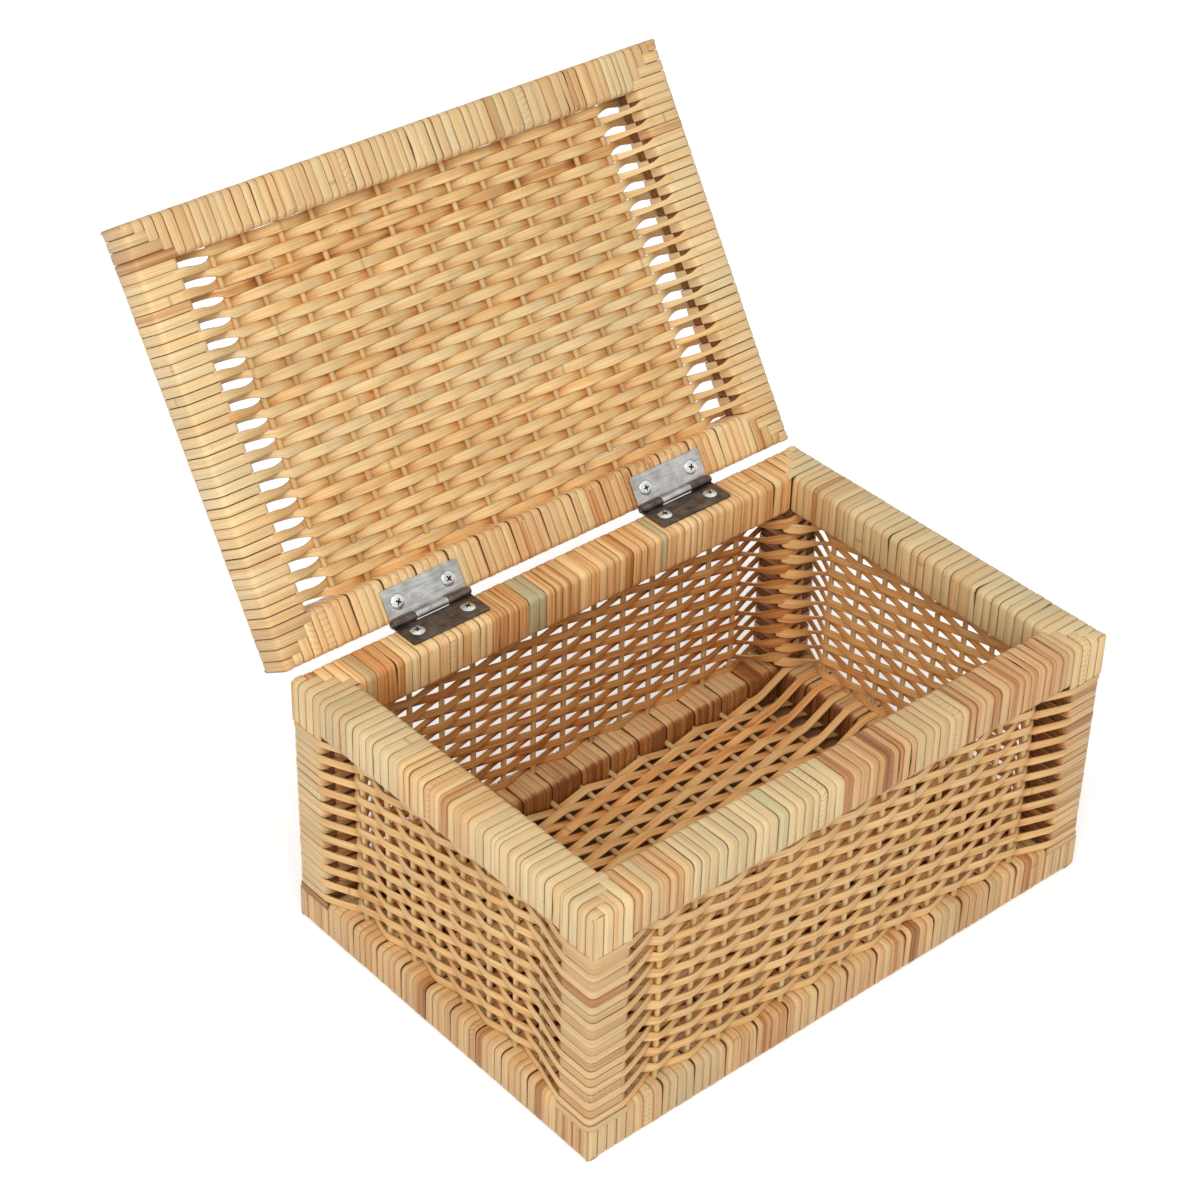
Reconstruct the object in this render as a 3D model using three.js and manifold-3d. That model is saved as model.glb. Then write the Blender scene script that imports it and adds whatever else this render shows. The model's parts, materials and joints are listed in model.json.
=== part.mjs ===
// A woven rattan box with a hinged lid, stored with the lid open. Millimetres, +Z up.
// The origin is the middle of the back bottom rail's underside. +X runs along the box, +Y to its back.

import * as THREE from "three";
import { mergeVertices } from "three/addons/utils/BufferGeometryUtils.js";
import Module from "manifold-3d";

// Box
const boxLength = 350;
const boxDepth = 234;
const bodyHeight = 157.5;

// Bound rails and posts of the body, square, and their poles inside
const railSection = 24.5;
const railEdge = 3.2;
const bindingThickness = 1.2;
const poleClearance = 0.3;
const poleEdge = 2;
const jointGap = 0.3;

// Notches that the stakes press between the bundles of peel on the bottom rails
const notchDepth = 0.7;
const notchWidth = 1.8;

// Lid
const lidOverhang = 2;
const lidRailSection = 24;
const lidThickness = 24;
const lidOpenAngle = 122;

// Weave: flat weavers that pass round stakes by one side and the other
const stakeDiameter = 3.2;
const weaverThickness = 1;
const weaverGap = 0.1;
const weaverPlay = 0.1;
const weaverPress = 0.4;
const weaveSeat = 0.3;
const longStakeCount = 13;
const longStakeEndGap = 23.6;
const shortStakeCount = 8;
const shortStakeEndGap = 21.8;
const wallRowPitch = 5.15;
const wallEndRise = 3.2;

// Broad bands of the floor and the lid, each of which stands for two or three rows
const floorBandPitch = 15.4;
const floorBandGap = 1;
const lidBandPitch = 15.7;
const lidBandGap = 0.6;
const lidEndRise = 8;

// Places of the woven panels
const longWallSetback = 7;
const shortWallSetback = 9.5;
const floorHeight = 12;
const lidWeaveDepth = 12;

// Butt hinges, their axis behind and above the body's back edge
const hingeLength = 50;
const hingeSpacing = 170;
const leafDepth = 18.5;
const leafThickness = 1.2;
const knuckleRadius = 2.2;
const knuckleGap = 0.3;
const middleKnuckleLength = 21;
const hingeSeat = 0.3;
const axisOverhang = 0.5;
const pinRadius = 1.2;
const pinHeadRadius = 1.8;
const pinHeadThickness = 1;
const pinClearance = 0.15;

// Raised countersunk wood screws with a cross recess
const screwLength = 16;
const screwShankRadius = 1.7;
const screwTipLength = 3;
const screwHeadRadius = 4;
const screwHeadDepth = 1;
const screwDomeHeight = 0.8;
const domeRadiusShare = 0.67;
const domeHeightShare = 0.75;
const screwEndInset = 8.5;
const screwInset = 10;
const recessWidth = 1.1;
const recessLength = 4.4;
const recessDepth = 1;
const driveClearance = 0.15;

// Nails that tie the posts to the long rails
const nailLength = 45;
const nailRadius = 1.2;
const nailPointLength = 3;
const nailHeadRadius = 2.8;
const nailHeadThickness = 1;
const nailOffset = 4.2;

// Tools of the cuts
const overrun = 1;
const mergeDistance = 0.001;
const stakeSides = 6;
const smallSides = 8;
const screwSides = 12;
const knuckleSides = 16;

// Finishes
const peelFinish = { color: 0xe0bf8b, roughness: 0.5, metalness: 0 };
const poleFinish = { color: 0xcda873, roughness: 0.8, metalness: 0 };
const weaveFinish = { color: 0xd2a468, roughness: 0.55, metalness: 0 };
const leafFinish = { color: 0x77726c, roughness: 0.45, metalness: 0.9 };
const pinFinish = { color: 0x5e5a57, roughness: 0.4, metalness: 0.9 };
const screwFinish = { color: 0xc4c6c4, roughness: 0.3, metalness: 0.95 };
const nailFinish = { color: 0x8b8b88, roughness: 0.5, metalness: 0.9 };

// Sizes that follow
const clearLength = boxLength - 2 * railSection;
const clearDepth = boxDepth - 2 * railSection;
const clearHeight = bodyHeight - 2 * railSection;
const longStakePitch = (clearLength - 2 * longStakeEndGap) / (longStakeCount - 1);
const shortStakePitch = (clearDepth - 2 * shortStakeEndGap) / (shortStakeCount - 1);
const lidDepth = boxDepth + lidOverhang;
const screwSpacing = hingeLength - 2 * screwEndInset;
const lidAxisHeight = hingeSeat + knuckleRadius;
const poleInset = bindingThickness + poleClearance;
const knuckleEnd = hingeLength / 2;
const middleKnuckleEnd = middleKnuckleLength / 2;

const wasm = await Module();
wasm.setup();

/** A manifold solid of a closed geometry. */
function solidOf(geometry) {
  const bare = new THREE.BufferGeometry();
  bare.setAttribute("position", geometry.getAttribute("position"));
  bare.setIndex(geometry.getIndex());
  const merged = mergeVertices(bare, mergeDistance);
  return new wasm.Manifold(
    new wasm.Mesh({
      numProp: 3,
      vertProperties: merged.getAttribute("position").array,
      triVerts: new Uint32Array(merged.getIndex().array),
    }),
  );
}

/** The geometry of a manifold solid. */
function geometryOf(solid) {
  const mesh = solid.getMesh();
  const geometry = new THREE.BufferGeometry();
  geometry.setAttribute("position", new THREE.BufferAttribute(mesh.vertProperties, mesh.numProp));
  geometry.setIndex(new THREE.BufferAttribute(mesh.triVerts, 1));
  geometry.computeVertexNormals();
  return geometry;
}

/** One geometry less the others. */
function cut(geometry, tools) {
  return geometryOf(tools.reduce((left, tool) => left.subtract(solidOf(tool)), solidOf(geometry)));
}

/** Several overlapping geometries joined to one. */
function join(geometries) {
  const [first, ...others] = geometries.map(solidOf);
  return geometryOf(others.reduce((sum, other) => sum.add(other), first));
}

/** A block between two corners. */
function block(low, high) {
  const size = high.map((value, axis) => value - low[axis]);
  const middle = high.map((value, axis) => (value + low[axis]) / 2);
  return new THREE.BoxGeometry(...size).translate(...middle);
}

/** A round rod along Z between two heights, its middle line at x and y. */
function rod(radius, low, high, x, y, sides) {
  const straight = new THREE.CylinderGeometry(radius, radius, high - low, sides).rotateX(Math.PI / 2);
  return straight.translate(x, y, (low + high) / 2);
}

/** A turned solid about Z from a list of [radius, height], from its foot up. */
function turned(profile, sides) {
  const points = profile.map(([radius, height]) => new THREE.Vector2(radius, height));
  return new THREE.LatheGeometry(points, sides).rotateX(Math.PI / 2);
}

/** A closed solid through rings of points, all with the same count, along +X. */
function loft(rings) {
  const count = rings[0].length;
  const index = [];
  for (let ring = 0; ring < rings.length - 1; ring += 1) {
    for (let i = 0; i < count; i += 1) {
      const near = ring * count + i;
      const next = ring * count + ((i + 1) % count);
      index.push(near, next, next + count, near, next + count, near + count);
    }
  }
  const last = (rings.length - 1) * count;
  for (let i = 1; i < count - 1; i += 1) {
    index.push(0, i + 1, i, last, last + i, last + i + 1);
  }
  const geometry = new THREE.BufferGeometry().setFromPoints(rings.flat());
  geometry.setIndex(index);
  geometry.computeVertexNormals();
  return geometry;
}

/** A rectangular section with cut edges, drawn in by an inset on every side but its underside. */
function railOutline(width, height, edge, inset) {
  const side = width / 2 - inset;
  const top = height / 2 - inset;
  const foot = -height / 2;
  return [
    [side, foot + edge],
    [side, top - edge],
    [side - edge, top],
    [edge - side, top],
    [-side, top - edge],
    [-side, foot + edge],
    [edge - side, foot],
    [side - edge, foot],
  ];
}

/** A bar along X with its outer face towards -Y. Mitred ends are cut at 45 degrees to meet its neighbours. */
function bar({ length, width, height, edge, mitred = false, notches = [] }) {
  const ringAt = (x, inset) =>
    railOutline(width, height, edge, inset).map(([y, z]) => new THREE.Vector3(x, y, z));
  const endRing = (side) =>
    railOutline(width, height, edge, 0).map(([y, z]) => {
      const setback = mitred ? y + width / 2 : 0;
      return new THREE.Vector3(side * (length / 2 - setback), y, z);
    });
  const notchRings = notches.flatMap((x) => [
    ringAt(x - notchWidth / 2, 0),
    ringAt(x, notchDepth),
    ringAt(x + notchWidth / 2, 0),
  ]);
  return loft([endRing(-1), ...notchRings, endRing(1)]);
}

/** The wooden pole and the sleeve of wound peel round it, for one bound rail or post. */
function boundPole({ length, width, height, mitred, notches }) {
  const poleLength = mitred ? length - 2 * poleInset : length;
  const poleWidth = width - 2 * poleInset;
  const poleHeight = height - 2 * poleInset;
  const pole = bar({ length: poleLength, width: poleWidth, height: poleHeight, edge: poleEdge, mitred });
  const outside = bar({ length, width, height, edge: railEdge, mitred, notches });
  const bore = bar({
    length: length + 2 * overrun,
    width: poleWidth + 2 * poleClearance,
    height: poleHeight + 2 * poleClearance,
    edge: poleEdge,
  });
  return { pole, binding: cut(outside, [bore]) };
}

/** A named mesh with a material of its own. */
function piece(name, geometry, finish) {
  const mesh = new THREE.Mesh(geometry, new THREE.MeshStandardMaterial(finish));
  mesh.name = name;
  return mesh;
}

/** Even places about the middle. */
function spread(count, pitch) {
  return Array.from({ length: count }, (_, i) => (i - (count - 1) / 2) * pitch);
}

/** Places of the screws along a back rail, for both hinges. */
function screwPlaces() {
  return spread(2, hingeSpacing).flatMap((hinge) =>
    spread(2, screwSpacing).map((screw) => hinge + screw),
  );
}

/** The hole of each screw in a back rail of the given section, from its top or its underside. */
function screwHoles(width, height, side) {
  const y = screwInset - width / 2 - axisOverhang;
  const mouth = side * (height / 2 + overrun);
  const floor = side * (height / 2 + hingeSeat + leafThickness - screwLength - driveClearance);
  const low = Math.min(mouth, floor);
  const high = Math.max(mouth, floor);
  const radius = screwShankRadius + driveClearance;
  return screwPlaces().map((x) => rod(radius, low, high, x, y, screwSides));
}

/** The nail holes of a long body rail: through its pole, and through the wall of peel next to the post. */
function nailHoles(side) {
  const half = railSection / 2;
  const places = spread(2, boxLength - railSection - 2 * nailOffset);
  const radius = nailRadius + driveClearance;
  const poleTop = half - poleInset;
  const headFloor = poleTop - nailHeadThickness - driveClearance;
  const span = (from, to) => [Math.min(side * from, side * to), Math.max(side * from, side * to)];
  const through = (from, to, wide) =>
    places.map((x) => rod(wide, ...span(from, to), x, -nailOffset, smallSides));
  return {
    pole: [
      ...through(-half, half, radius),
      ...through(headFloor, half, nailHeadRadius + driveClearance),
    ],
    binding: through(-half - overrun, -poleTop, radius),
  };
}

/** Four mitred rails about a middle. Each long rail takes the holes that are given for it. */
function railFrame({ prefix, length, depth, width, height, notched = false, holes = {} }) {
  const frame = new THREE.Group();
  const longStakes = spread(longStakeCount, longStakePitch);
  const shortStakes = spread(shortStakeCount, shortStakePitch);
  const sides = [
    { name: "front", turn: 0, run: length, reach: depth, stakes: longStakes },
    { name: "back", turn: Math.PI, run: length, reach: depth, stakes: longStakes },
    { name: "left", turn: -Math.PI / 2, run: depth, reach: length, stakes: shortStakes },
    { name: "right", turn: Math.PI / 2, run: depth, reach: length, stakes: shortStakes },
  ];
  for (const { name, turn, run, reach, stakes } of sides) {
    const notches = notched ? stakes : [];
    const made = boundPole({ length: run - jointGap, width, height, mitred: true, notches });
    const own = holes[name] ?? { pole: [], binding: [] };
    const rail = new THREE.Group();
    rail.rotation.z = turn;
    rail.position.set(
      (Math.sin(turn) * (reach - width)) / 2,
      (-Math.cos(turn) * (reach - width)) / 2,
      0,
    );
    rail.add(piece(`${prefix}_${name}_pole`, cut(made.pole, own.pole), poleFinish));
    rail.add(piece(`${prefix}_${name}_binding`, cut(made.binding, own.binding), peelFinish));
    frame.add(rail);
  }
  return frame;
}

/** The screw holes and nail holes of the top frame's long rails, which both start at the rail's top. */
function topFrameHoles() {
  const nails = nailHoles(1);
  const screws = screwHoles(railSection, railSection, 1);
  return {
    front: nails,
    back: { pole: [...nails.pole, ...screws], binding: [...nails.binding, ...screws] },
  };
}

/** The corner posts between the two frames, with the nails' holes in both ends of their poles. */
function cornerPosts() {
  const posts = new THREE.Group();
  const height = clearHeight - 2 * jointGap;
  const nailDepth = nailLength + driveClearance - (railSection - poleInset) - jointGap;
  const half = height / 2;
  const radius = nailRadius + driveClearance;
  for (const [depthName, depthSide] of [["front", -1], ["back", 1]]) {
    for (const [lengthName, lengthSide] of [["left", -1], ["right", 1]]) {
      const made = boundPole({ length: height, width: railSection, height: railSection, mitred: false });
      const x = -lengthSide * nailOffset;
      const y = depthSide * nailOffset;
      const holes = [
        rod(radius, half - nailDepth, half + overrun, x, y, smallSides),
        rod(radius, -half - overrun, nailDepth - half, x, y, smallSides),
      ];
      const post = new THREE.Group();
      const name = `post_${depthName}_${lengthName}`;
      post.add(piece(`${name}_pole`, cut(made.pole.rotateY(-Math.PI / 2), holes), poleFinish));
      post.add(piece(`${name}_binding`, made.binding.rotateY(-Math.PI / 2), peelFinish));
      post.position.set(
        (lengthSide * (boxLength - railSection)) / 2,
        (depthSide * (boxDepth - railSection)) / 2,
        bodyHeight / 2,
      );
      posts.add(post);
    }
  }
  return posts;
}

/** A wire nail, its head's top at the origin and its point down. */
function nailGeometry() {
  return turned(
    [
      [0, -nailLength],
      [nailRadius, nailPointLength - nailLength],
      [nailRadius, -nailHeadThickness],
      [nailHeadRadius, -nailHeadThickness],
      [nailHeadRadius, 0],
      [0, 0],
    ],
    smallSides,
  );
}

/** The nails: one down through the top frame and one up through the bottom frame at each post. */
function frameNails() {
  const nails = new THREE.Group();
  for (const [levelName, upright, z] of [
    ["top", true, bodyHeight - poleInset],
    ["bottom", false, poleInset],
  ]) {
    for (const [depthName, depthSide] of [["front", -1], ["back", 1]]) {
      for (const [lengthName, lengthSide] of [["left", -1], ["right", 1]]) {
        const nail = piece(`frame_nail_${levelName}_${depthName}_${lengthName}`, nailGeometry(), nailFinish);
        nail.rotation.x = upright ? 0 : Math.PI;
        nail.position.set(
          lengthSide * ((boxLength - railSection) / 2 - nailOffset),
          depthSide * ((boxDepth - railSection) / 2 + nailOffset),
          z,
        );
        nails.add(nail);
      }
    }
  }
  return nails;
}

/** A flat weaver through [x, z] points, its middle at y. */
function weaver(points, y, width) {
  const across = width / 2;
  const half = weaverThickness / 2;
  return loft(
    points.map(([x, z]) => [
      new THREE.Vector3(x, y + across, z - half),
      new THREE.Vector3(x, y + across, z + half),
      new THREE.Vector3(x, y - across, z + half),
      new THREE.Vector3(x, y - across, z - half),
    ]),
  );
}

/**
 * A woven panel in the XY plane, weavers along X and stakes along Y.
 * The first weaver passes the first stake on the first side, and each step along or up changes sides.
 * The first weaver and the middle stake press on what they cross, and the others cross with play.
 * A weaver's end runs on to the pole beside the panel and rises there to the side across from its last
 * pass, as if the pole were one more stake. Where the panel has an outer side, the first weaver and each
 * second one after it end on that side of the poles, and the others stop past the end stakes.
 */
function wovenPanel({
  alongWeavers,
  alongStakes,
  stakeCount,
  stakePitch,
  rowPitch,
  rowGap = weaverGap,
  endRise = 0,
  firstSide = 1,
  outerSide = 0,
}) {
  const radius = stakeDiameter / 2;
  const touching = radius + weaverThickness / 2;
  const places = spread(stakeCount, stakePitch);
  const span = alongStakes - 2 * weaveSeat;
  const rowCount = Math.round(span / rowPitch);
  const pitch = span / rowCount;
  const poleX = alongWeavers / 2 - weaveSeat;
  const stopX = places.at(-1) + stakeDiameter;
  const middleStake = Math.floor(stakeCount / 2);
  const weavers = spread(rowCount, pitch).map((y, row) => {
    const sideAt = (stake) => firstSide * (-1) ** (row + stake);
    const leaves = (-1) ** row > 0;
    const end = (along, side) => {
      if (outerSide === 0) return [along * poleX, -side * endRise];
      if (leaves) return [along * poleX, outerSide * endRise];
      return [along * stopX, side * (touching + weaverPlay)];
    };
    const passes = places.map((x, stake) => {
      const held = row === 0 || stake === middleStake;
      return [x, sideAt(stake) * (touching + (held ? -weaverPress : weaverPlay))];
    });
    const points = [end(-1, sideAt(0)), ...passes, end(1, sideAt(stakeCount - 1))];
    return weaver(points, y, pitch - rowGap);
  });
  const stakes = places.map((x) =>
    new THREE.CylinderGeometry(radius, radius, span, stakeSides).translate(x, 0, 0),
  );
  return join([...weavers, ...stakes]);
}

/** The four walls and the floor, each between the bound poles that carry it. */
function bodyPanels() {
  const panels = new THREE.Group();
  const upright = Math.PI / 2;
  const middle = bodyHeight / 2;
  for (const [name, side] of [["front", -1], ["back", 1]]) {
    const woven = wovenPanel({
      alongWeavers: clearLength,
      alongStakes: clearHeight,
      stakeCount: longStakeCount,
      stakePitch: longStakePitch,
      rowPitch: wallRowPitch,
      endRise: wallEndRise,
      firstSide: side,
      outerSide: -side,
    });
    const wall = piece(`${name}_woven_panel`, woven.rotateX(upright), weaveFinish);
    wall.position.set(0, side * (boxDepth / 2 - longWallSetback), middle);
    panels.add(wall);
  }
  for (const [name, side] of [["left", -1], ["right", 1]]) {
    const woven = wovenPanel({
      alongWeavers: clearDepth,
      alongStakes: clearHeight,
      stakeCount: shortStakeCount,
      stakePitch: shortStakePitch,
      rowPitch: wallRowPitch,
      endRise: wallEndRise,
      firstSide: side,
      outerSide: side,
    });
    const wall = piece(`${name}_woven_panel`, woven.rotateX(upright).rotateZ(upright), weaveFinish);
    wall.position.set(side * (boxLength / 2 - shortWallSetback), 0, middle);
    panels.add(wall);
  }
  const floor = wovenPanel({
    alongWeavers: clearLength,
    alongStakes: clearDepth,
    stakeCount: longStakeCount,
    stakePitch: longStakePitch,
    rowPitch: floorBandPitch,
    rowGap: floorBandGap,
  });
  const floorPanel = piece("floor_woven_panel", floor, weaveFinish);
  floorPanel.position.set(0, 0, floorHeight);
  panels.add(floorPanel);
  return panels;
}

/** The hole of a screw's shank and its head's cone, its head's rim at the origin and its point down. */
function screwSeat() {
  const shank = screwShankRadius + driveClearance;
  const head = screwHeadRadius + driveClearance;
  return turned(
    [
      [0, -screwLength],
      [shank, -screwLength],
      [shank, -screwHeadDepth - driveClearance],
      [head, 0],
      [head, overrun],
      [0, overrun],
    ],
    screwSides,
  );
}

/** A knuckle along X about the axis, between two places. */
function knuckle(from, to) {
  const straight = new THREE.CylinderGeometry(knuckleRadius, knuckleRadius, to - from, knuckleSides);
  return straight.rotateZ(Math.PI / 2).translate((from + to) / 2, 0, 0);
}

/** A hinge leaf about its axis, its plate towards -Y and its back at z = -knuckleRadius. */
function leafGeometry(knuckles) {
  const foot = -knuckleRadius;
  const face = foot + leafThickness;
  const plateEdge = -knuckleRadius - knuckleGap;
  const plate = block([-knuckleEnd, -leafDepth, foot], [knuckleEnd, plateEdge, face]);
  const tabs = knuckles.map(([from, to]) => block([from, plateEdge - overrun, foot], [to, 0, face]));
  const barrels = knuckles.map(([from, to]) => knuckle(from, to));
  const boreRadius = pinRadius + pinClearance;
  const boreLength = hingeLength + 2 * overrun;
  const bore = new THREE.CylinderGeometry(boreRadius, boreRadius, boreLength, knuckleSides);
  bore.rotateZ(Math.PI / 2);
  const seats = spread(2, screwSpacing).map((x) => screwSeat().translate(x, -screwInset, face));
  return cut(join([plate, ...tabs, ...barrels]), [bore, ...seats]);
}

/** The pin through both leaves, with a flat head outside each outer knuckle. */
function pinGeometry() {
  const shaftEnd = knuckleEnd + pinClearance;
  const headEnd = shaftEnd + pinHeadThickness;
  return turned(
    [
      [0, -headEnd],
      [pinHeadRadius, -headEnd],
      [pinHeadRadius, -shaftEnd],
      [pinRadius, -shaftEnd],
      [pinRadius, shaftEnd],
      [pinHeadRadius, shaftEnd],
      [pinHeadRadius, headEnd],
      [0, headEnd],
    ],
    knuckleSides,
  ).rotateY(Math.PI / 2);
}

/** A screw with its head's rim at the origin and its point down. */
function screwGeometry() {
  const body = turned(
    [
      [0, -screwLength],
      [screwShankRadius, screwTipLength - screwLength],
      [screwShankRadius, -screwHeadDepth],
      [screwHeadRadius, 0],
      [screwHeadRadius * domeRadiusShare, screwDomeHeight * domeHeightShare],
      [0, screwDomeHeight],
    ],
    screwSides,
  );
  const slot = (x, y) =>
    block([-x / 2, -y / 2, screwDomeHeight - recessDepth], [x / 2, y / 2, screwDomeHeight + overrun]);
  return cut(body, [slot(recessLength, recessWidth), slot(recessWidth, recessLength)]);
}

/** The two screws of a leaf. The turn is about X: none for the body's leaf, half a turn for the lid's. */
function leafScrews(prefix, turn) {
  const screws = new THREE.Group();
  const facing = Math.cos(turn);
  for (const [name, x] of [["left", -screwSpacing / 2], ["right", screwSpacing / 2]]) {
    const screw = piece(`${prefix}_screw_${name}`, screwGeometry(), screwFinish);
    screw.rotation.x = turn;
    screw.position.set(x, -screwInset, facing * (leafThickness - knuckleRadius));
    screws.add(screw);
  }
  return screws;
}

/** What the body carries of one hinge: the leaf with the two outer knuckles, the pin and two screws. */
function bodyHalf(prefix) {
  const half = new THREE.Group();
  const outer = middleKnuckleEnd + knuckleGap;
  const knuckles = [
    [-knuckleEnd, -outer],
    [outer, knuckleEnd],
  ];
  half.add(piece(`${prefix}_body_leaf`, leafGeometry(knuckles), leafFinish));
  half.add(piece(`${prefix}_pin`, pinGeometry(), pinFinish));
  half.add(leafScrews(`${prefix}_body`, 0));
  return half;
}

/** What the lid carries of one hinge, drawn as on the closed lid: the leaf with the middle knuckle. */
function lidHalf(prefix) {
  const half = new THREE.Group();
  const leaf = leafGeometry([[-middleKnuckleEnd, middleKnuckleEnd]]);
  const turnedOver = leaf.rotateX(Math.PI).rotateZ(Math.PI);
  half.add(piece(`${prefix}_lid_leaf`, turnedOver, leafFinish));
  half.add(leafScrews(`${prefix}_lid`, Math.PI));
  return half;
}

/** The halves of both hinges on their places along the axis. */
function hingeRow(halfOf) {
  const row = new THREE.Group();
  for (const [name, x] of [["hinge_left", -hingeSpacing / 2], ["hinge_right", hingeSpacing / 2]]) {
    const half = halfOf(name);
    half.position.x = x;
    row.add(half);
  }
  return row;
}

/** The lid, drawn closed about the hinge axis. */
function lidParts() {
  const lid = new THREE.Group();
  const holes = screwHoles(lidRailSection, lidThickness, -1);
  const frame = railFrame({
    prefix: "lid_rail",
    length: boxLength,
    depth: lidDepth,
    width: lidRailSection,
    height: lidThickness,
    holes: { back: { pole: holes, binding: holes } },
  });
  const middleY = -axisOverhang - lidDepth / 2;
  frame.position.set(0, middleY, lidAxisHeight + lidThickness / 2);
  lid.add(frame);
  const woven = wovenPanel({
    alongWeavers: boxLength - 2 * lidRailSection,
    alongStakes: lidDepth - 2 * lidRailSection,
    stakeCount: longStakeCount,
    stakePitch: longStakePitch,
    rowPitch: lidBandPitch,
    rowGap: lidBandGap,
    endRise: lidEndRise,
  });
  const panel = piece("lid_woven_panel", woven, weaveFinish);
  panel.position.set(0, middleY, lidAxisHeight + lidWeaveDepth);
  lid.add(panel);
  lid.add(hingeRow(lidHalf));
  return lid;
}

/** The body about the middle of its underside. */
function bodyParts() {
  const body = new THREE.Group();
  const section = { length: boxLength, depth: boxDepth, width: railSection, height: railSection };
  const topFrame = railFrame({ prefix: "top_rail", ...section, holes: topFrameHoles() });
  topFrame.position.z = bodyHeight - railSection / 2;
  const nails = nailHoles(-1);
  const bottomFrame = railFrame({
    prefix: "bottom_rail",
    ...section,
    notched: true,
    holes: { front: nails, back: nails },
  });
  bottomFrame.position.z = railSection / 2;
  body.add(topFrame, bottomFrame, cornerPosts(), bodyPanels(), frameNails());
  return body;
}

const box = new THREE.Group();
const hingeAxis = new THREE.Group();
hingeAxis.position.set(0, boxDepth / 2 + axisOverhang, bodyHeight + lidAxisHeight);
const lid = lidParts();
lid.rotation.x = -THREE.MathUtils.degToRad(lidOpenAngle);
hingeAxis.add(hingeRow(bodyHalf), lid);
box.add(bodyParts(), hingeAxis);
box.position.y = (railSection - boxDepth) / 2;

const part = new THREE.Group();
part.add(box);

export default part;
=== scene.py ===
"""A woven rattan box with its hinged lid open, seen from above its front left corner.

Lengths are in millimetres until a piece's own matrix brings its mesh to metres in the part's frame.
"""

import json
import logging
import math
import random
from dataclasses import dataclass, field, replace
from enum import Enum
from functools import partial
from typing import Iterable, Sequence

import bmesh
import bpy
from mathutils import Matrix, Vector, noise

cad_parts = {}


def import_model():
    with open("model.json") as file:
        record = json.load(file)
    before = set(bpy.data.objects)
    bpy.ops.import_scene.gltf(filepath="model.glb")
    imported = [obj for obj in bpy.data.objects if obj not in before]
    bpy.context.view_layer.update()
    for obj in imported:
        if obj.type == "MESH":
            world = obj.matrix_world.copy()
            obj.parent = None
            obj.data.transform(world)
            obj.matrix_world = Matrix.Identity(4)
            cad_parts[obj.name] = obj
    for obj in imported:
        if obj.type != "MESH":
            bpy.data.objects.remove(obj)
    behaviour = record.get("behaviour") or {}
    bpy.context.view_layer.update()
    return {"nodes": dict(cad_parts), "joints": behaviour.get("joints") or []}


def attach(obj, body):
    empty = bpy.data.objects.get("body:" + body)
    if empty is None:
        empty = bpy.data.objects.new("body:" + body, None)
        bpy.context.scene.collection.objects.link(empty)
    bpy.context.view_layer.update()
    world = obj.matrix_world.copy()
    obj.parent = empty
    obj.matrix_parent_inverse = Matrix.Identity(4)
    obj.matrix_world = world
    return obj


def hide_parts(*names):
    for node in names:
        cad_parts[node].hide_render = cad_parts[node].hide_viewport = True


LOG = logging.getLogger("woven_box")

MM = 0.001
SCALE = Matrix.Diagonal((MM, MM, MM, 1.0))
X, Y, Z = Vector((1.0, 0.0, 0.0)), Vector((0.0, 1.0, 0.0)), Vector((0.0, 0.0, 1.0))
BODY_MIDDLE_M = (0.0, -0.10475, 0.0)
MERGE_DISTANCE = 0.0001
ARC_SHARES = (0.0, 0.5, 1.0)
STRAIGHT_COSINE = 0.999
LONGEST_SIDE = 10.0
LONGEST_FREE_STEP = 3.2
FACING_IN = -0.5
# The share of a strip's tone that painted shade takes away at its fullest.
PAINTED_SHADE_DARKENING = 0.28
CANE_IOR = 1.5
SHARP_ANGLE = math.radians(60)
SMOOTH_ANGLE = math.radians(38)

BOX_LENGTH = 350.0
BOX_DEPTH = 234.0
BODY_HEIGHT = 157.5
BODY_SECTION = 24.5
LONG_SETBACK = 7.0
SHORT_SETBACK = 9.5
LID_DEPTH = 236.0
LID_SECTION = 24.0
LID_OPEN_DEGREES = 122.0
LID_AXIS_HEIGHT = 2.5
LID_AXIS_OVERHANG = 0.5
EDGE_RADIUS = 3.2
WEAVER_SEAT = 4.5
STAIR_STEPS = (0.0, 6.2, 12.2, 18.3)
LONG_STAKES = tuple(-126.9 + 21.15 * number for number in range(13))
SHORT_STAKES = tuple(-70.7 + 20.2 * number for number in range(8))
BODY_CLEAR = BODY_HEIGHT - 2 * BODY_SECTION
BODY_ROWS = tuple(BODY_SECTION + BODY_CLEAR * (number + 0.5) / 21 for number in range(21))
LID_ROWS = tuple((LID_DEPTH - 2 * LID_SECTION) * ((number + 0.5) / 35 - 0.5) for number in range(35))
FLOOR_ROWS = tuple(6.3 * (number - 14) for number in range(29))
LAST_ROW_WIDTH = 4.2
LAST_ROW_DROP = 0.42

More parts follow.
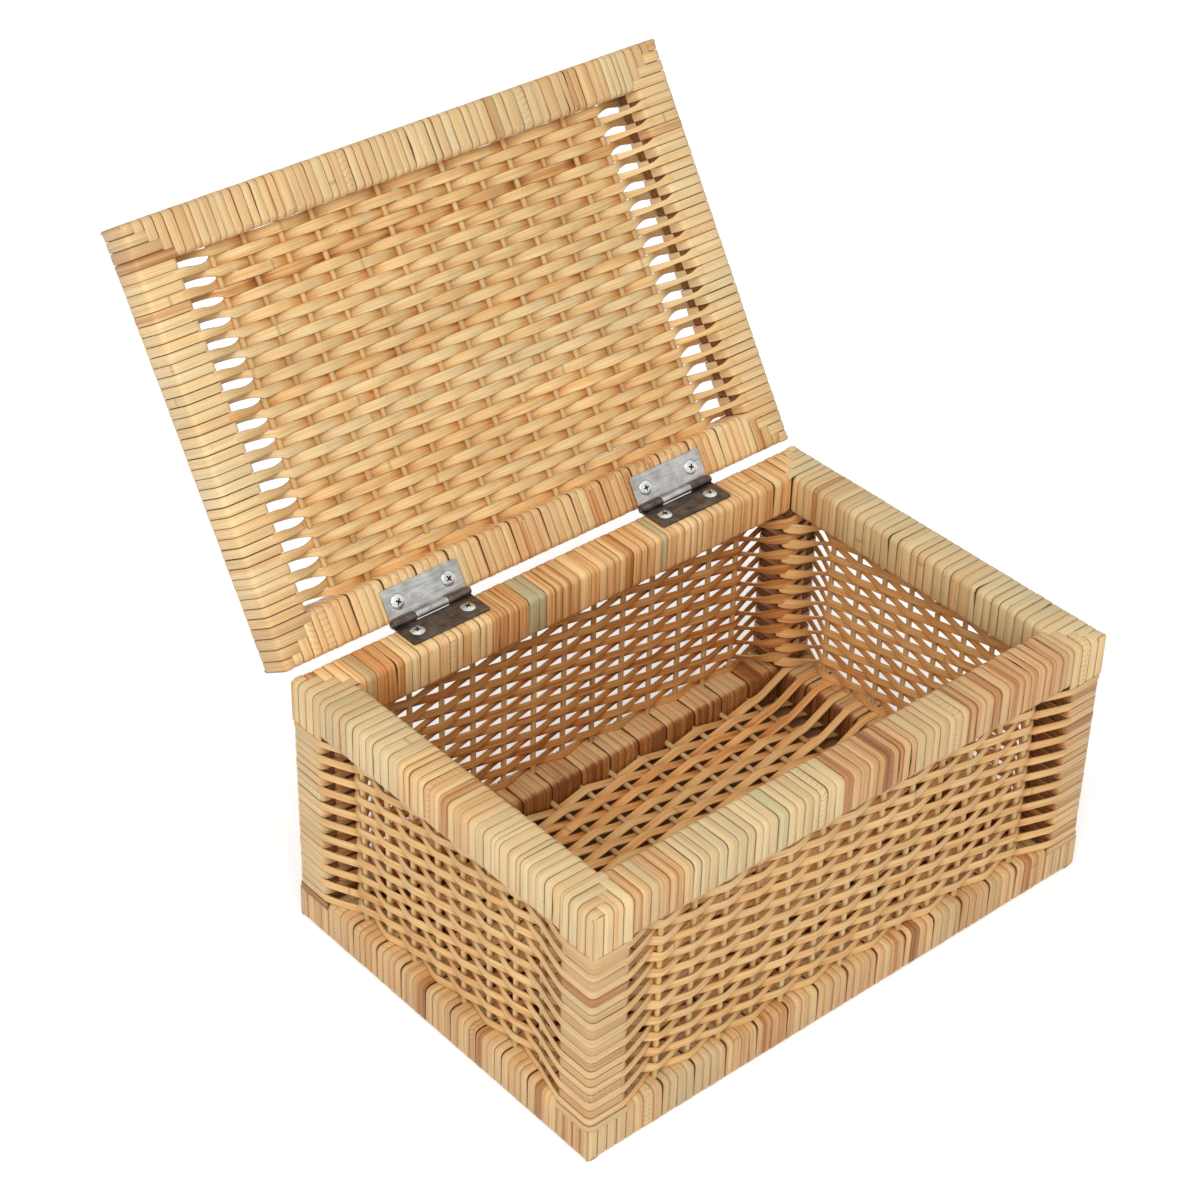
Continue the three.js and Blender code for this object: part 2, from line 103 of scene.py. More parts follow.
# How a wall's odd rows end over a post's inner corner, on the short walls and on the long ones: each
# knot's distances into the panel and into the box from the corner, its rise, its width and its facing.
DIVING_END = (
    (-6.4, -0.9, -2.2, 1.8, (-0.5, 1.0, 0.3)),
    (-3.8, 0.5, -1.9, 3.6, (-0.3, 1.0, 0.35)),
    (-0.6, 2.3, -1.5, 5.6, (0.3, 1.0, 0.35)),
    (4.6, -2.6, -1.8, 6.2, (0.8, 1.0, 0.2)),
    (9.0, -7.4, -1.2, 5.4, (0.8, 1.0, -0.35)),
    (13.5, -12.0, -0.4, 4.8, (0.6, 1.0, -0.85)),
    (18.0, -15.9, 0.0, 4.8, (0.4, 1.0, -0.6)),
)
CLIMBING_END = (
    (-15.6, -1.1, 4.8, 4.4, (0.0, 1.0, 0.0)),
    (-12.5, 0.4, 4.56, 5.2, (0.0, 1.0, 0.1)),
    (-6.5, 1.05, 3.456, 5.8, (0.0, 1.0, 0.25)),
    (-0.4, 1.3, 1.92, 6.2, (0.5, 1.0, 0.35)),
    (4.6, -3.2, 0.384, 6.0, (0.8, 1.0, 0.2)),
    (9.0, -7.8, -0.576, 5.2, (0.8, 1.0, -0.35)),
    (13.5, -12.2, -0.48, 4.8, (0.6, 1.0, -0.85)),
    (18.0, -15.9, 0.0, 4.8, (0.4, 1.0, -0.6)),
)

# The ends of the floor's even and odd rows: how far past the rail's inner face each knot is, its height
# over the panel's middle, its lean and its width.
FLOOR_ENDS = (
    (
        (13.0, 12.6, 0.0, 4.9),
        (11.5, 13.1, 0.0, 5.0),
        (5.0, 13.2, 0.0, 5.0),
        (1.2, 12.9, 0.2, 5.0),
        (-1.6, 11.6, 0.5, 5.0),
        (-7.5, 8.5, 0.5, 5.0),
        (-13.5, 5.4, 0.5, 5.0),
        (-19.0, 2.9, 0.4, 5.2),
    ),
    ((1.5, -7.0, 0.0, 4.8), (-4.0, -5.4, 0.2, 4.9), (-13.0, -3.2, 0.1, 4.9)),
)

# The free end of a lid row by the face and side it leaves at: the share of the way from the rail to
# the first stake, the depth, the climb and the width at each knot.
LID_FREE_ENDS = {
    (1, -1): ((0.15, 9.8, 0.2, 4.9), (0.4, 6.4, 0.8, 4.1), (0.7, 1.2, 1.2, 3.9), (0.9, -1.8, 1.0, 4.3)),
    (1, 1): ((0.12, 9.9, 0.8, 3.3), (0.35, 7.0, 1.1, 2.7), (0.65, 1.8, 1.2, 3.4), (0.9, -1.8, 1.0, 4.3)),
    (-1, -1): ((0.15, 9.8, -0.7, 4.0), (0.4, 6.4, -1.3, 3.2), (0.7, 1.2, -0.9, 3.5), (0.9, -1.8, 0.1, 4.3)),
    (-1, 1): ((0.15, 9.8, -0.5, 4.6), (0.4, 6.4, -0.9, 4.4), (0.7, 1.2, -0.6, 4.4), (0.9, -1.8, 0.1, 4.4)),
}

# Odd strips of a rail: where each starts and ends along it, its tone and its hue.
RAIL_ACCENTS = {
    "top_rail_front": ((24.5, 30.5, 0.98, 0.66), (36.0, 42.0, 0.87, 0.3), (113.0, 121.0, 0.97, 0.0)),
    "top_rail_left": ((30.0, 37.0, 0.8, 0.3), (37.0, 46.0, 0.9, 0.34), (96.0, 100.0, 0.84, 0.5)),
    "top_rail_back": ((118.0, 123.0, 0.85, 0.1), (203.0, 212.0, 0.74, 0.04), (313.0, 320.0, 0.8, 0.5)),
    "bottom_rail_front": ((222.0, 229.0, 0.8, 0.86),),
    "bottom_rail_left": ((196.0, 201.0, 0.8, 0.8),),
    "lid_rail_front": ((228.0, 236.0, 0.82, 0.52),),
}

# The mean hue and tone of a rail's own peel, where it differs from the rest of its frame. These hold painted
# light and shade: top_rail_back is painted lighter against the lid's shadow and browner for warm bounced
# light, lid_rail_left darker and lid_rail_right lighter as the light falls across the lid.
RAIL_TINTS_AND_PAINTED_LIGHT = {
    "top_rail_back": (0.56, 1.26),
    "top_rail_front": (0.5, 0.97),
    "lid_rail_front": (0.42, 1.03),
    "lid_rail_back": (0.56, 1.12),
    "lid_rail_left": (0.45, 0.97),
    "lid_rail_right": (0.42, 1.07),
}


class Winding(Enum):
    """How the peel lies on a rail between its corners."""

    PLAIN = "side by side"
    BUNDLED = "in bundles between the stakes"
    WOVEN = "rows of the woven panel"


class Hang(Enum):
    """Which faces of a rail its corner strips cover."""

    TOP = "upper face and outer face"
    BOTTOM = "outer face and underside"
    BOTH = "upper face, outer face and underside"


@dataclass(frozen=True)
class Tint:
    """How one strip of rattan differs from its neighbours."""

    tone: float
    hue: float
    seed: float
    cracks: float
    # core: painted shade on the strip's underside, which is drawn darker and browner
    core: float


@dataclass
class PeelLot:
    """Strips cut from one cane lie side by side and look alike, until the next cane starts."""

    seed: int
    mean_hue: float = 0.42
    hue_spread: float = 0.1
    tone_spread: float = 0.045
    # Painted shade on the undersides of the lot's strips.
    core: float = 0.0
    mean_tone: float = 1.0
    cracked: float = 0.03
    strips_per_cane: tuple[int, int] = (3, 12)
    odd_chance: float = 0.05
    odd_hue: float = 0.2
    odd_shade: float = -0.3
    own_hue_spread: float = 0.045
    own_tone_spread: float = 0.03
    strips_left: int = field(init=False, default=0)
    hue: float = field(init=False)
    tone: float = field(init=False)
    dice: random.Random = field(init=False)

    def __post_init__(self) -> None:
        """Starts this lot's own row of chances."""
        self.dice = random.Random(self.seed)

    def draw(self) -> Tint:
        """Draws the tint of the next strip.

        Returns:
            The tint, close to the last one's until the cane is used up.
        """
        if self.strips_left == 0:
            self.strips_left = self.dice.randint(*self.strips_per_cane)
            self.hue = self.dice.gauss(self.mean_hue, self.hue_spread)
            self.tone = self.dice.gauss(self.mean_tone, self.tone_spread)
        self.strips_left -= 1
        odd_one = self.odd_hue if self.dice.random() < self.odd_chance else 0.0
        return Tint(
            tone=self.tone + self.dice.gauss(self.odd_shade * odd_one, self.own_tone_spread),
            hue=min(max(self.hue + self.dice.gauss(odd_one, self.own_hue_spread), 0.0), 1.0),
            seed=self.dice.random(),
            cracks=1.0 if self.dice.random() < self.cracked else 0.0,
            core=self.core,
        )

    def draw_all(self, rows: Sequence[float]) -> list[Tint]:
        """The tints of the next strips, one for each row."""
        return [self.draw() for _ in rows]


# The tints of the woven rows, which the posts and the lid's side rails share.
ROW_TINTS = {
    # The walls' rows carry painted shade on their undersides (core).
    "walls": PeelLot(211, 0.52, 0.08, core=0.3, mean_tone=1.03, cracked=0.0).draw_all(BODY_ROWS),
    "lid": PeelLot(212, 0.42, 0.09, mean_tone=1.1, cracked=0.0).draw_all(LID_ROWS),
    "floor": PeelLot(213, 0.55, 0.06, mean_tone=1.18, cracked=0.0).draw_all(FLOOR_ROWS),
}


@dataclass(frozen=True)
class Section:
    """A strip's cut, as (share of half its width, height), and the numbers of its sharp ridges."""

    points: tuple[tuple[float, float], ...]
    ridges: tuple[int, ...] = ()


PEEL = Section(
    ((-1.0, -1.2), (-0.98, -0.34), (-0.8, -0.07), (0.0, 0.0), (0.8, -0.07), (0.98, -0.34), (1.0, -1.2)),
    ridges=(1, 5),
)
WEAVER_TOP = ((-1.0, 0.0), (-0.93, 0.34), (0.0, 0.46), (0.93, 0.34))
WEAVER = Section((*WEAVER_TOP, *((-across, -height) for across, height in WEAVER_TOP)), ridges=(1, 3, 5, 7))
STAKE = Section(tuple((-math.cos(math.tau * n / 8), 1.6 * math.sin(math.tau * n / 8)) for n in range(8)))


@dataclass(frozen=True)
class Knot:
    """A place along a strip: its point, the ways its face and its edge look, its width and its painted shade
    (tan).
    """

    place: Vector
    outward: Vector
    width: float
    # tan: painted shade, how much darker and browner the strip is drawn at this knot
    tan: float = 0.0
    side: Vector | None = None


@dataclass(frozen=True)
class Turn:
    """A point of the path round a rail's cut, and the way that faces out of the rail there."""

    point: Vector
    normal: Vector


def left_of(way: Vector) -> Vector:
    """The way to the left of another in a rail's cut."""
    return Vector((-way.y, way.x))


def path_round(corners: Sequence[tuple[float, float]], closed: bool = False) -> list[Turn]:
    """The path of a strip round a rail, its corners rounded and its long sides halved.

    Args:
        corners: places in the rail's cut, passed with the rail's outside on the left
        closed: whether the path comes back to its start

    Returns:
        The points of the path with the ways they face.
    """
    spots = [Vector(corner) for corner in corners]
    last = len(spots) - 1
    turns: list[Turn] = []
    for number, spot in enumerate(spots):
        before = spot - spots[number - 1]
        after = spots[(number + 1) % len(spots)] - spot
        if not closed and number == 0:
            before = after
        if not closed and number == last:
            after = before
        before, after = before.normalized(), after.normalized()
        if before.dot(after) > STRAIGHT_COSINE:
            turns.append(Turn(spot, left_of(before)))
            continue
        setback = EDGE_RADIUS * math.tan(before.angle(after) / 2)
        middle = spot - before * setback - left_of(before) * EDGE_RADIUS
        for share in ARC_SHARES:
            normal = left_of(before).lerp(left_of(after), share).normalized()
            turns.append(Turn(middle + normal * EDGE_RADIUS, normal))
    filled: list[Turn] = []
    for number, turn in enumerate(turns):
        filled.append(turn)
        following = turns[(number + 1) % len(turns)]
        goes_on = closed or number < len(turns) - 1
        if goes_on and (following.point - turn.point).length > LONGEST_SIDE:
            normal = turn.normal.lerp(following.normal, 0.5).normalized()
            filled.append(Turn(turn.point.lerp(following.point, 0.5), normal))
    return filled


def eased(knots: Sequence[Knot]) -> list[Knot]:
    """A free strip's knots with smooth steps added between those that are far apart.

    Args:
        knots: the places that the strip passes

    Returns:
        The knots with the steps between them.
    """
    places = [knot.place for knot in knots]
    gaps = [max((far - near).length, MERGE_DISTANCE) for near, far in zip(places, places[1:])]
    slopes = [(places[1] - places[0]) / gaps[0]]
    slopes += [(places[n + 1] - places[n - 1]) / (gaps[n - 1] + gaps[n]) for n in range(1, len(gaps))]
    slopes += [(places[-1] - places[-2]) / gaps[-1]]
    smooth: list[Knot] = []
    for number, gap in enumerate(gaps):
        near, far = knots[number], knots[number + 1]
        steps = max(1, math.ceil(gap / LONGEST_FREE_STEP))
        for step in range(steps):
            share = step / steps
            squared, cubed = share**2, share**3
            place = (
                near.place * (2 * cubed - 3 * squared + 1)
                + slopes[number] * gap * (cubed - 2 * squared + share)
                + far.place * (3 * squared - 2 * cubed)
                + slopes[number + 1] * gap * (cubed - squared)
            )
            outward = near.outward.lerp(far.outward, share).normalized()
            width = near.width + (far.width - near.width) * share
            # The painted shade (tan) is blended between the knots too.
            smooth.append(Knot(place, outward, width, near.tan + (far.tan - near.tan) * share))
    return [*smooth, knots[-1]]


def squared_up(knots: Sequence[Knot]) -> list[Knot]:
    """The knots of a free strip, each turned square to the way that the strip runs.

    Args:
        knots: the places that the strip passes, close together

    Returns:
        The knots with the ways of their edges.
    """
    turned_knots = []
    for number, knot in enumerate(knots):
        before = knots[max(number - 1, 0)].place
        after = knots[min(number + 1, len(knots) - 1)].place
        way = (after - before).normalized()
        side = way.cross(knot.outward).normalized()
        turned_knots.append(replace(knot, outward=side.cross(way), side=side))
    return turned_knots


class StripMesh:
    """A mesh of many strips, gathered in millimetres."""

    def __init__(self) -> None:
        """Starts an empty mesh with the strips' own colour and fibre layers."""
        self.mesh = bmesh.new()
        self.tint_layer = self.mesh.verts.layers.float_color.new("strip")
        self.fibre_layer = self.mesh.loops.layers.uv.new("fibre")

    def add(
        self, knots: Sequence[Knot], section: Section, tint: Tint, closed: bool = False, slot: int = 0
    ) -> None:
        """Draws a section along its knots as one strip.

        Args:
            knots: the places along the strip, with the ways of its edges
            section: the strip's cut
            tint: how the strip differs from its neighbours
            closed: whether the strip comes back to its start
            slot: the number of the strip's material
        """
        rows = [*knots, knots[0]] if closed else list(knots)
        columns = [*section.points, section.points[0]]
        verts = bmesh.ops.create_grid(
            self.mesh, x_segments=len(columns) - 1, y_segments=len(rows) - 1, size=0.5
        )["verts"]
        fibre: dict[bmesh.types.BMVert, tuple[float, float]] = {}
        along = 0.0
        for row, knot in enumerate(rows):
            if row > 0:
                along += (knot.place - rows[row - 1].place).length * MM
            for column, (across, height) in enumerate(columns):
                vert = verts[row * len(columns) + column]
                vert.co = knot.place + knot.side * (across * knot.width / 2) + knot.outward * height
                # Painted shade: the knot's tan, and the tint's core on the underside, darken the strip and
                # turn it browner.
                painted_shade_share = knot.tan + (tint.core if height < 0 else 0.0)
                tone = tint.tone * (1 - PAINTED_SHADE_DARKENING * painted_shade_share)
                vert[self.tint_layer] = (tone, min(tint.hue + painted_shade_share, 1.0), tint.seed, tint.cracks)
                fibre[vert] = (along, (across + 1) / 2)
        for face in {face for vert in verts for face in vert.link_faces}:
            face.smooth = True
            face.material_index = slot
            for loop in face.loops:
                loop[self.fibre_layer].uv = fibre[loop.vert]
        for ridge in section.ridges:
            line = verts[ridge :: len(columns)]
            for pair in zip(line, line[1:]):
                self.mesh.edges.get(pair).smooth = False

    def finish(self, place: Matrix) -> bmesh.types.BMesh:
        """Closes the strips' seams and ends, and puts them where they belong.

        Args:
            place: the matrix from the strips' millimetres to the part's metres

        Returns:
            The finished mesh.
        """
        mesh = self.mesh
        bmesh.ops.remove_doubles(mesh, verts=mesh.verts, dist=MERGE_DISTANCE)
        ends = [edge for edge in mesh.edges if edge.is_boundary]
        for cap in bmesh.ops.holes_fill(mesh, edges=ends, sides=0)["faces"]:
            beside = [face for edge in cap.edges for face in edge.link_faces if face is not cap]
            cap.material_index = beside[0].material_index
            cap.smooth = False
        bmesh.ops.recalc_face_normals(mesh, faces=mesh.faces)
        bmesh.ops.transform(mesh, matrix=place, verts=mesh.verts)
        return mesh


def linear(colour: str) -> tuple[float, float, float, float]:
    """The linear colour of an sRGB hex value.

    Args:
        colour: six hex digits after a hash

    Returns:
        Red, green and blue as light adds up, and full alpha.
    """
    shares = [int(colour[start : start + 2], 16) / 255 for start in (1, 3, 5)]
    light = [share / 12.92 if share <= 0.04045 else ((share + 0.055) / 1.055) ** 2.4 for share in shares]
    return (light[0], light[1], light[2], 1.0)


def new_tree(owner: bpy.types.Material | bpy.types.World) -> bpy.types.NodeTree:
    """The emptied node tree of a new material or world.

    Args:
        owner: the material or world

    Returns:
        Its node tree.
    """
    owner.use_nodes = True
    owner.node_tree.nodes.clear()
    return owner.node_tree


def add_node(
    tree: bpy.types.NodeTree,
    kind: str,
    inputs: dict | Sequence = (),
    stops: Sequence[tuple[float, str]] = (),
    **settings: object,
) -> bpy.types.Node:
    """Adds a node with its settings and links.

    Args:
        tree: the node tree
        kind: Blender's name for the node's type, without its first word
        inputs: what each input takes, in order or by name or number: a value, a socket or, for its first
            output, a node
        stops: places and hex colours of a colour ramp
        settings: the node's own properties

    Returns:
        The new node.
    """
    node = tree.nodes.new(f"ShaderNode{kind}")
    for name, value in settings.items():
        setattr(node, name, value)
    for key, value in inputs.items() if isinstance(inputs, dict) else enumerate(inputs):
        source = value.outputs[0] if isinstance(value, bpy.types.Node) else value
        if isinstance(source, bpy.types.NodeSocket):
            tree.links.new(source, node.inputs[key])
        else:
            node.inputs[key].default_value = source
    for number, (position, colour) in enumerate(stops):
        elements = node.color_ramp.elements
        element = elements[number] if number < len(elements) else elements.new(position)
        element.position = position
        element.color = linear(colour)
    return node


@dataclass(frozen=True)
class RattanFinish:
    """Rattan cane, split and dried: long fine fibres, a satin skin and no two strips quite alike.

    Its fibres and cracks are drawn coarser than real ones, so that they show.
    """

    name: str
    stops: tuple[tuple[float, str], ...]
    roughness: float
    roughness_spread: float
    bump_m: float
    fibre_depth: float = 0.2
    # How strongly the strips' edges take the edge colour: dirt, and painted shade where neighbours meet.
    edge_dirt_and_shade: float = 0.5
    fibre_length_m: float = 0.04
    fibres_across: float = 11.0
    streak_length_m: float = 0.11
    streaks_across: float = 2.3
    lane_shift: float = 60.0
    node_spacing_m: float = 0.34
    node_width_m: float = 0.0014
    node_shift: float = 17.0
    crack_spacing_m: float = 0.0033
    speck_size_m: float = 0.0009
    stain_size_m: float = 0.035
    speck_colour: str = "#5A3B1E"
    node_colour: str = "#8A6238"
    # The colour of the dirt and the painted shade along the strips' edges.
    edge_dirt_and_shade_colour: str = "#7E5024"

    def material(self) -> bpy.types.Material:
        """Builds the finish.

        Returns:
            The material, which reads the strips' own colour and fibre layers.
        """
        material = bpy.data.materials.new(self.name)
        node = partial(add_node, new_tree(material))
        strip = node("Attribute", attribute_name="strip", attribute_type="GEOMETRY")
        tone, hue, seed = node("SeparateColor", [strip]).outputs
        along, across, _ = node("SeparateXYZ", [node("UVMap", uv_map="fibre")]).outputs
        place = node("TexCoord").outputs["Object"]
        lane = node("CombineXYZ", [along, across, seed])
        drawn = [
            node("VectorMath", [lane, (1 / length, number, self.lane_shift)], operation="MULTIPLY")
            for length, number in (
                (self.fibre_length_m, self.fibres_across),
                (self.streak_length_m, self.streaks_across),
            )
        ]
        fibres, streaks, stains, patches, flecks = (
            node("TexNoise", {"Vector": vector, "Scale": scale, "Detail": detail})
            for vector, scale, detail in (
                (drawn[0], 1.0, 3.0),
                (drawn[1], 1.0, 2.0),
                (place, 1 / self.stain_size_m, 2.0),
                (place, 2 / self.stain_size_m, 1.0),
                (place, 1 / self.speck_size_m, 1.0),
            )
        )
        warmth = node("Math", [hue, node("MapRange", [streaks, 0.3, 0.7, -0.15, 0.15])], operation="ADD")
        shade = tone
        for factor in (
            node("MapRange", [fibres, 0.3, 0.7, 1 - self.fibre_depth, 1 + self.fibre_depth / 2]),
            node("MapRange", [stains, 0.35, 0.65, 0.95, 1.04]),
        ):
            shade = node("Math", [shade, factor], operation="MULTIPLY")
        flecked = node("MapRange", [flecks, 0.66, 0.74, 0.0, 0.55])
        patchy = node("MapRange", [patches, 0.6, 0.7, 0.0, 1.0])
        specks = node("Math", [flecked, patchy], operation="MULTIPLY")
        rim = node("Math", [node("Math", [across, 0.5], operation="SUBTRACT")], operation="ABSOLUTE")
        node_start = node("Math", [seed, self.node_shift], operation="MULTIPLY")
        node_step = node("Math", [along, 1 / self.node_spacing_m, node_start], operation="MULTIPLY_ADD")
        node_place = node("Math", [node_step, 1.0], operation="PINGPONG")
        crack_start = node("Math", [streaks, 2.0], operation="MULTIPLY")
        crack_step = node("Math", [along, 1 / self.crack_spacing_m, crack_start], operation="MULTIPLY_ADD")
        crack_place = node("Math", [crack_step, 0.5], operation="PINGPONG")
        crack = strip.outputs["Alpha"]
        for factor in (
            node("MapRange", [crack_place, 0.0, 0.07, 0.75, 0.0]),
            node("MapRange", [fibres, 0.42, 0.5, 0.0, 1.0]),
        ):
            crack = node("Math", [crack, factor], operation="MULTIPLY")
        node_share = self.node_width_m / self.node_spacing_m
        marks = (
            (self.speck_colour, specks),
            # Dirt and painted shade: a brown rim along each strip's edges and sides, where it meets its
            # neighbours.
            (self.edge_dirt_and_shade_colour, node("MapRange", [rim, 0.4, 0.5, 0.0, self.edge_dirt_and_shade])),
            (self.node_colour, node("MapRange", [node_place, 0.0, node_share, 0.45, 0.0])),
            (self.speck_colour, crack),
        )
        ramp = node("ValToRGB", [warmth], self.stops)
        colour = node("VectorMath", {0: ramp, "Scale": shade}, operation="SCALE").outputs[0]
        for mark_colour, share in marks:
            mixed = node("Mix", {0: share, 6: colour, 7: linear(mark_colour)}, data_type="RGBA")
            colour = mixed.outputs[2]
        height = node("Math", [crack, -1.5, fibres], operation="MULTIPLY_ADD")
        bump = node("Bump", {"Strength": 0.6, "Distance": self.bump_m, "Height": height})
        low, high = self.roughness - self.roughness_spread, self.roughness + self.roughness_spread
        rough = node("MapRange", [streaks, 0.3, 0.7, low, high])
        look = {"Base Color": colour, "Roughness": rough, "IOR": CANE_IOR, "Normal": bump}
        node("OutputMaterial", [node("BsdfPrincipled", look)])
        return material


@dataclass(frozen=True)
class WoodFinish:
    """Peeled cane poles under the winding: dull brown wood with a fine straight grain."""

    name: str
    dark: str
    pale: str
    grain_m: float = 0.0016
    bump_m: float = 0.0001
    roughness: float = 0.8

    def material(self) -> bpy.types.Material:
        """Builds the finish.

        Returns:
            The material.
        """
        material = bpy.data.materials.new(self.name)
        node = partial(add_node, new_tree(material))
        place = node("TexCoord").outputs["Object"]
        grain = node("TexNoise", {"Vector": place, "Scale": 1 / self.grain_m, "Detail": 4.0})
        colour = node("ValToRGB", [grain], ((0.35, self.dark), (0.65, self.pale)))
        bump = node("Bump", {"Strength": 0.3, "Distance": self.bump_m, "Height": grain})
        look = {"Base Color": colour, "Roughness": self.roughness, "IOR": CANE_IOR, "Normal": bump}
        node("OutputMaterial", [node("BsdfPrincipled", look)])
        return material


@dataclass(frozen=True)
class SteelFinish:
    """Steel sheet or wire: a metal whose shine is broken by the fine lines of its making."""

    name: str
    dark: str
    pale: str
    roughness: float
    roughness_spread: float
    line_m: tuple[float, float, float] = (0.012, 0.0006, 0.0006)
    cloud_m: float = 0.006
    bump_m: float = 0.00003

    def material(self) -> bpy.types.Material:
        """Builds the finish.

        Returns:
            The material.
        """
        material = bpy.data.materials.new(self.name)
        node = partial(add_node, new_tree(material))
        place = node("TexCoord").outputs["Object"]
        drawn = node("Mapping", {"Vector": place, "Scale": [1 / size for size in self.line_m]})
        lines = node("TexNoise", {"Vector": drawn, "Scale": 1.0, "Detail": 3.0})
        clouds = node("TexNoise", {"Vector": place, "Scale": 1 / self.cloud_m, "Detail": 2.0})
        both = node("Math", [lines, clouds], operation="ADD")
        mean = node("Math", [both, 0.5], operation="MULTIPLY")
        colour = node("ValToRGB", [mean], ((0.38, self.dark), (0.62, self.pale)))
        low, high = self.roughness - self.roughness_spread, self.roughness + self.roughness_spread
        rough = node("MapRange", [clouds, 0.3, 0.7, low, high])
        bump = node("Bump", {"Strength": 0.4, "Distance": self.bump_m, "Height": lines})
        look = {"Base Color": colour, "Metallic": 1.0, "Roughness": rough, "Normal": bump}
        node("OutputMaterial", [node("BsdfPrincipled", look)])
        return material


class Finishes:
    """Every finish of the box, each made once."""

    def __init__(self) -> None:
        """Builds the materials."""
        peel = ("#E2D39C", "#F2D7A2", "#EFC98F", "#E6B57A", "#CE8D50", "#9A5A28")
        weave = ("#DDCE96", "#F0D099", "#EBBF7F", "#E1A764", "#C98040", "#915022")
        stake = ("#E2C58C", "#E0B67A", "#B07C45")
        peel_stops = tuple(zip((0.0, 0.2, 0.42, 0.62, 0.8, 1.0), peel))
        weave_stops = tuple(zip((0.0, 0.22, 0.45, 0.65, 0.82, 1.0), weave))
        stake_stops = tuple(zip((0.0, 0.5, 1.0), stake))
        self.peel = RattanFinish("rattan_peel_satin", peel_stops, 0.46, 0.08, 0.00025).material()
        self.weave = RattanFinish(
            "rattan_weave_matt", weave_stops, 0.55, 0.08, 0.0003, fibre_depth=0.22
        ).material()
        self.stake = RattanFinish(
            "rattan_core_stake", stake_stops, 0.62, 0.05, 0.0002, edge_dirt_and_shade=0.2
        ).material()
        self.pole = WoodFinish("cane_pole_wood", "#6B4320", "#9A6833").material()
        self.body_leaf = SteelFinish("dull_steel_leaf", "#4E453E", "#7A6E63", 0.42, 0.08).material()
        self.lid_leaf = SteelFinish("brushed_steel_leaf", "#A09E9A", "#CDCBC7", 0.31, 0.06).material()
        self.pin = SteelFinish("steel_pin_wire", "#4A4642", "#6E6963", 0.32, 0.06).material()
        self.nail = SteelFinish("steel_nail_wire", "#77756F", "#96948E", 0.5, 0.08).material()
        self.screw = SteelFinish(
            "zinc_plated_screw", "#C9CBCA", "#E9EAE6", 0.24, 0.05, line_m=(0.003, 0.003, 0.003)
        ).material()
        # The screws' cross recess is painted near-black, as the shade inside it.
        self.recess = SteelFinish("painted_shade_screw_recess", "#1F1C19", "#38332E", 0.7, 0.05).material()


def mesh_data(name: str, mesh: bmesh.types.BMesh) -> bpy.types.Mesh:
    """Blender's own mesh of a mesh that is used up.

    Args:
        name: the new mesh's name
        mesh: what it is made from

    Returns:
        The new mesh.
    """
    data = bpy.data.meshes.new(name)
    mesh.to_mesh(data)
    mesh.free()
    return data


def shown(name: str, data: bpy.types.ID) -> bpy.types.Object:
    """A new object in the scene.

    Args:
        name: the object's name
        data: its mesh, lamp or camera

    Returns:
        The object.
    """
    thing = bpy.data.objects.new(name, data)
    bpy.context.scene.collection.objects.link(thing)
    return thing


def put(
    name: str,
    mesh: bmesh.types.BMesh,
    materials: Iterable[bpy.types.Material],
    body: str,
    stands_for: str,
) -> None:
    """Makes a finished mesh a piece of the model.

    Args:
        name: the piece's name
        mesh: its mesh in metres, which is used up
        materials: its materials in the order of their slots
        body: the body that it rides on
        stands_for: the node that it replaces
    """
    data = mesh_data(name, mesh)
    for material in materials:
        data.materials.append(material)
    piece = shown(name, data)
    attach(piece, body)
    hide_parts(stands_for)
    LOG.info("%s: %d faces", name, len(data.polygons))


@dataclass(frozen=True)
class RailPlace:
    """Where a rail lies: the outer end of its middle line, two of its ways, its length and half its cut."""

    start: Vector
    along: Vector
    out: Vector
    run: float
    half: float
    # Painted shade on the rail's inner faces.
    inner_painted_shade: float

    def knot(self, turn: Turn, distance: float, width: float, lift: float) -> Knot:
        """A place on the rail's surface, with painted shade, darker and browner, on its inner faces.

        Args:
            turn: the point in the rail's cut
            distance: how far along the rail it is
            width: the strip's width there
            lift: how far the strip stands off the surface

        Returns:
            The place.
        """
        outward = self.out * turn.normal.x + Z * turn.normal.y
        place = self.start + self.along * distance + self.out * turn.point.x + Z * turn.point.y
        # Painted shade on the inner faces, which look into the box.
        tan = self.inner_painted_shade if turn.point.x < 0 and turn.normal.x < FACING_IN else 0.0
        return Knot(place + outward * lift, outward, width, tan, self.along)


def frame_places(
    depth: float, section: float, level: float, middle_y: float = 0.0, inner_painted_shade: float = 0.0
) -> list[tuple[str, RailPlace]]:
    """Where the four rails of a frame lie.

    Args:
        depth: the frame's outer depth
        section: the rails' width and height
        level: the height of their middle line
        middle_y: the frame's middle in depth
        inner_painted_shade: how much painted shade darkens and browns the peel on the rails' inner faces

    Returns:
        Each rail's side and place.
    """
    x, y, half = BOX_LENGTH / 2, depth / 2, section / 2
    table = (
        ("front", (-x, half - y), X, -Y, BOX_LENGTH),
        ("back", (x, y - half), -X, Y, BOX_LENGTH),
        ("left", (half - x, y), -Y, -X, depth),
        ("right", (x - half, -y), Y, X, depth),
    )
    return [
        (side, RailPlace(Vector((start[0], start[1] + middle_y, level)), along, out, run, half, inner_painted_shade))
        for side, start, along, out, run in table
    ]


